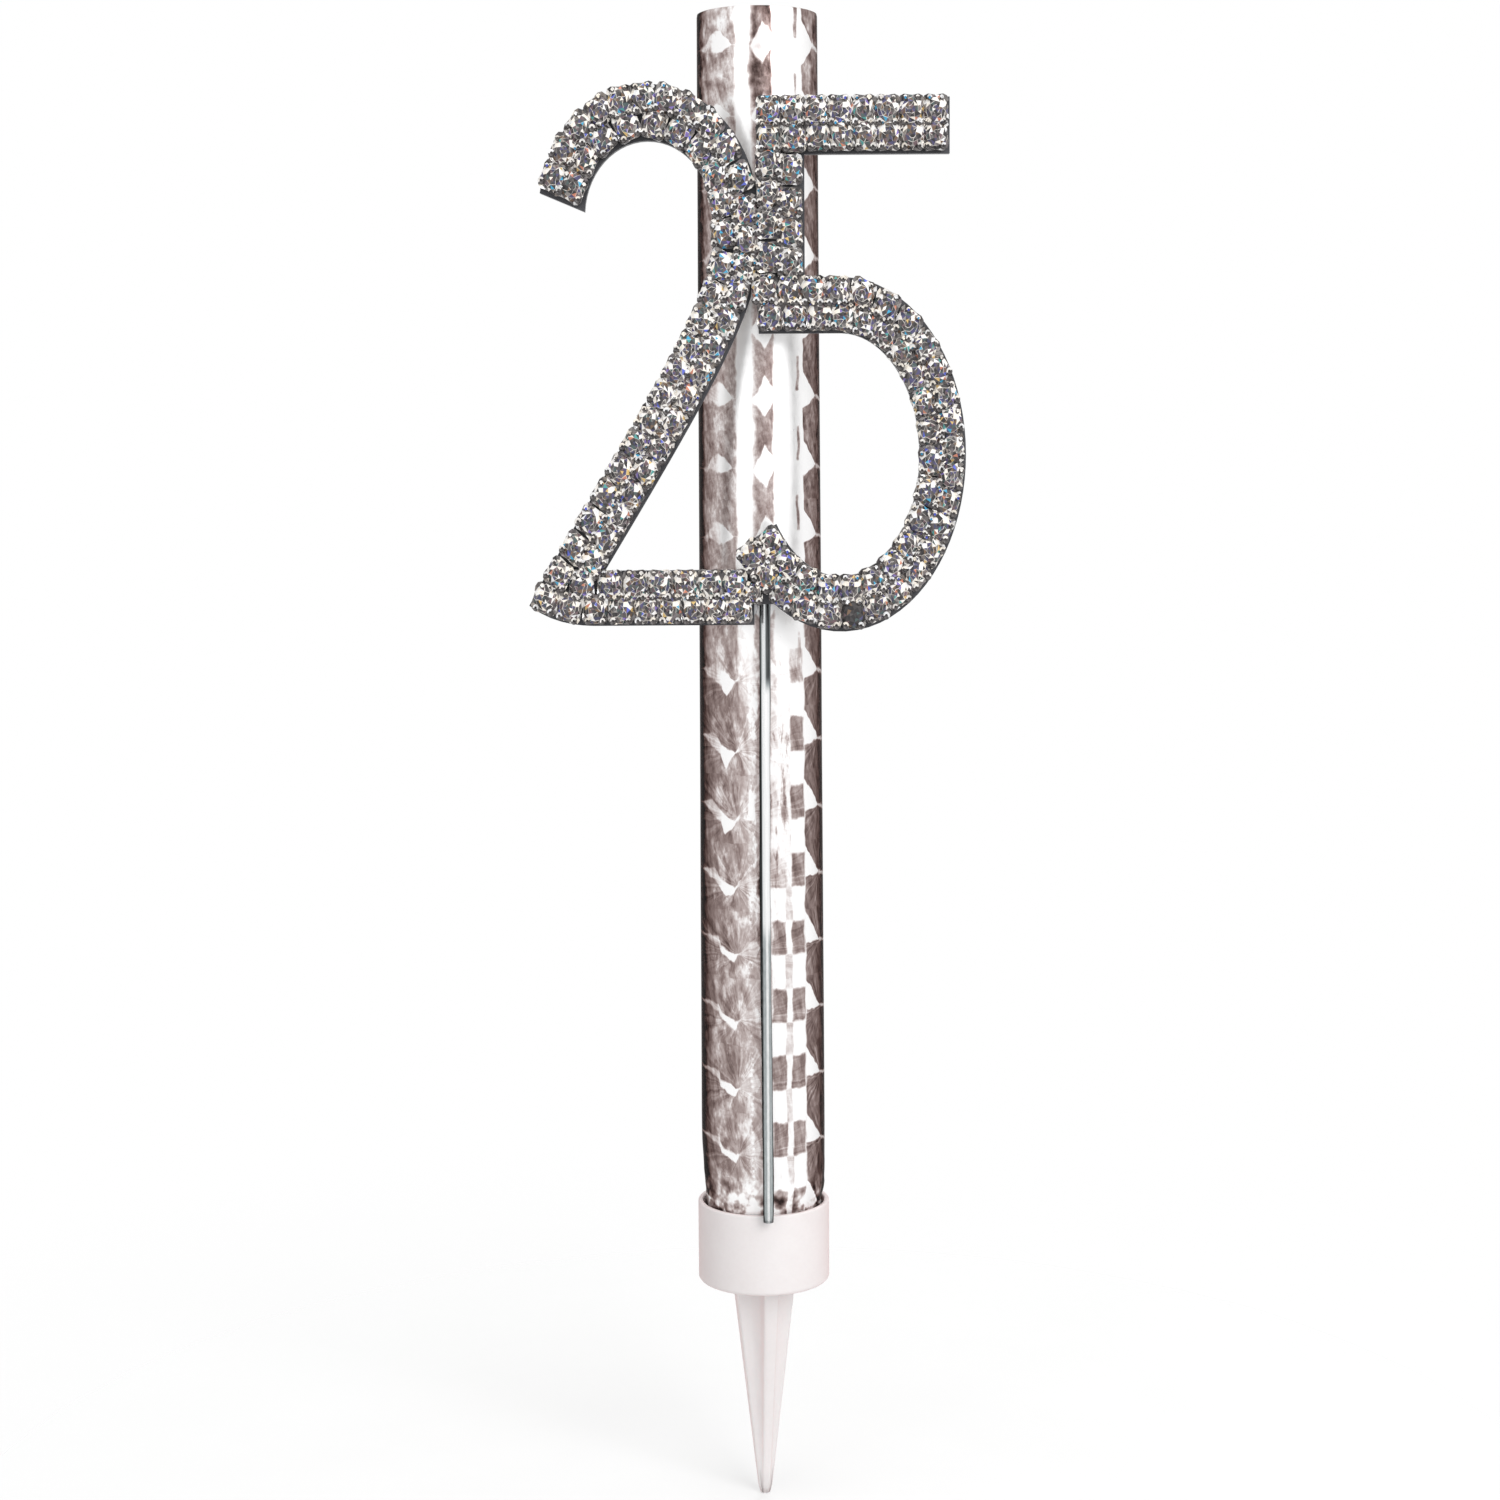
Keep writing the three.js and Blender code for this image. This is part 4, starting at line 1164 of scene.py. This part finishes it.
def slide_into_gaps(stones):
    """Slides the stones a little along their rows, into the gaps that the rows' joints leave. Those
    at free ends of a row stay."""
    rest = [stone.centre.copy() for stone in stones]
    held = []
    for stone in stones:
        mates = [other.centre for other in stones if other.row == stone.row]
        mates.sort(key=lambda c: (c - stone.centre).length)
        beside = [c - stone.centre for c in mates[1:3]]
        inner = len(beside) == 2 and beside[0].dot(beside[1]) < 0
        outward = -beside[0].normalized() if beside else Vector((1, 0))
        steps = [other.centre - stone.centre for other in stones]
        near = [step.normalized() for step in steps if 0.1 < step.length < 3.6]
        held.append(not inner and not any(step.dot(outward) > 0.7 for step in near))
    for _ in range(30):
        for i, stone in enumerate(stones):
            steps = [stone.centre - other.centre for other in stones]
            steps = [step for step in steps if 0.1 < step.length < SLIDE_REACH]
            push = sum((step.normalized() * (SLIDE_REACH - step.length) for step in steps), Vector((0, 0)))
            moved = stone.centre + stone.along * max(-0.03, min(0.03, 0.2 * push.dot(stone.along)))
            if not held[i] and (moved - rest[i]).length < 0.45:
                stone.centre = moved


def draw_rows_together(stones):
    """Moves each stone a little towards the row beside its own. One with rows on both sides stays."""
    moves = []
    for stone in stones:
        steps = [other.centre - stone.centre for other in stones if other.row != stone.row]
        near = [step.normalized() for step in steps if step.length < SLIDE_REACH]
        pull = sum(near, Vector((0, 0)))
        moves.append(pull * (ROW_PULL / max(1.0, pull.length)))
    for stone, move in zip(stones, moves):
        stone.centre = stone.centre + move


def make_stones():
    rng = random.Random(SEED)
    front = box_mm("number_plate")[0].y
    gem_finish, metal_finish = stone_material(), cup_metal_material()
    rows = sorted(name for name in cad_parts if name.endswith("_stones"))
    stones = [stone for row in rows for stone in packed_stones(row)]
    for x, z, size in EXTRA_STONES:
        centre = Vector((x, z / SHEET_STRETCH))
        stones.append(Stone("two_base_upper_stones", centre, Vector((1, 0)), size))
    slide_into_gaps(stones)
    draw_rows_together(stones)
    for stone in stones:
        stone.centre = stone.centre + STONES_SHIFT
    for row in rows:
        gems, cups = Setting(front), Setting(front)
        for stone in [stone for stone in stones if stone.row == row]:
            add_gem(gems, stone, rng)
            add_cup(cups, stone, rng)
            for sides in ((-1, -1), (-1, 1), (1, -1), (1, 1)):
                add_claw(cups, stone, sides, rng)
        name = row.removesuffix("_stones")
        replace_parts(cups.finish(name + "_cups", metal_finish), row)
        gems.finish(name + "_gems", gem_finish)


make_camera()
make_world()
for lamp in LAMPS:
    make_lamp(**lamp)
make_floor()
make_holder()
make_film()
make_inside()
make_plate()
make_stem()
make_solder()
make_glue()
make_stones()

bpy.context.scene.view_settings.view_transform = "Standard"
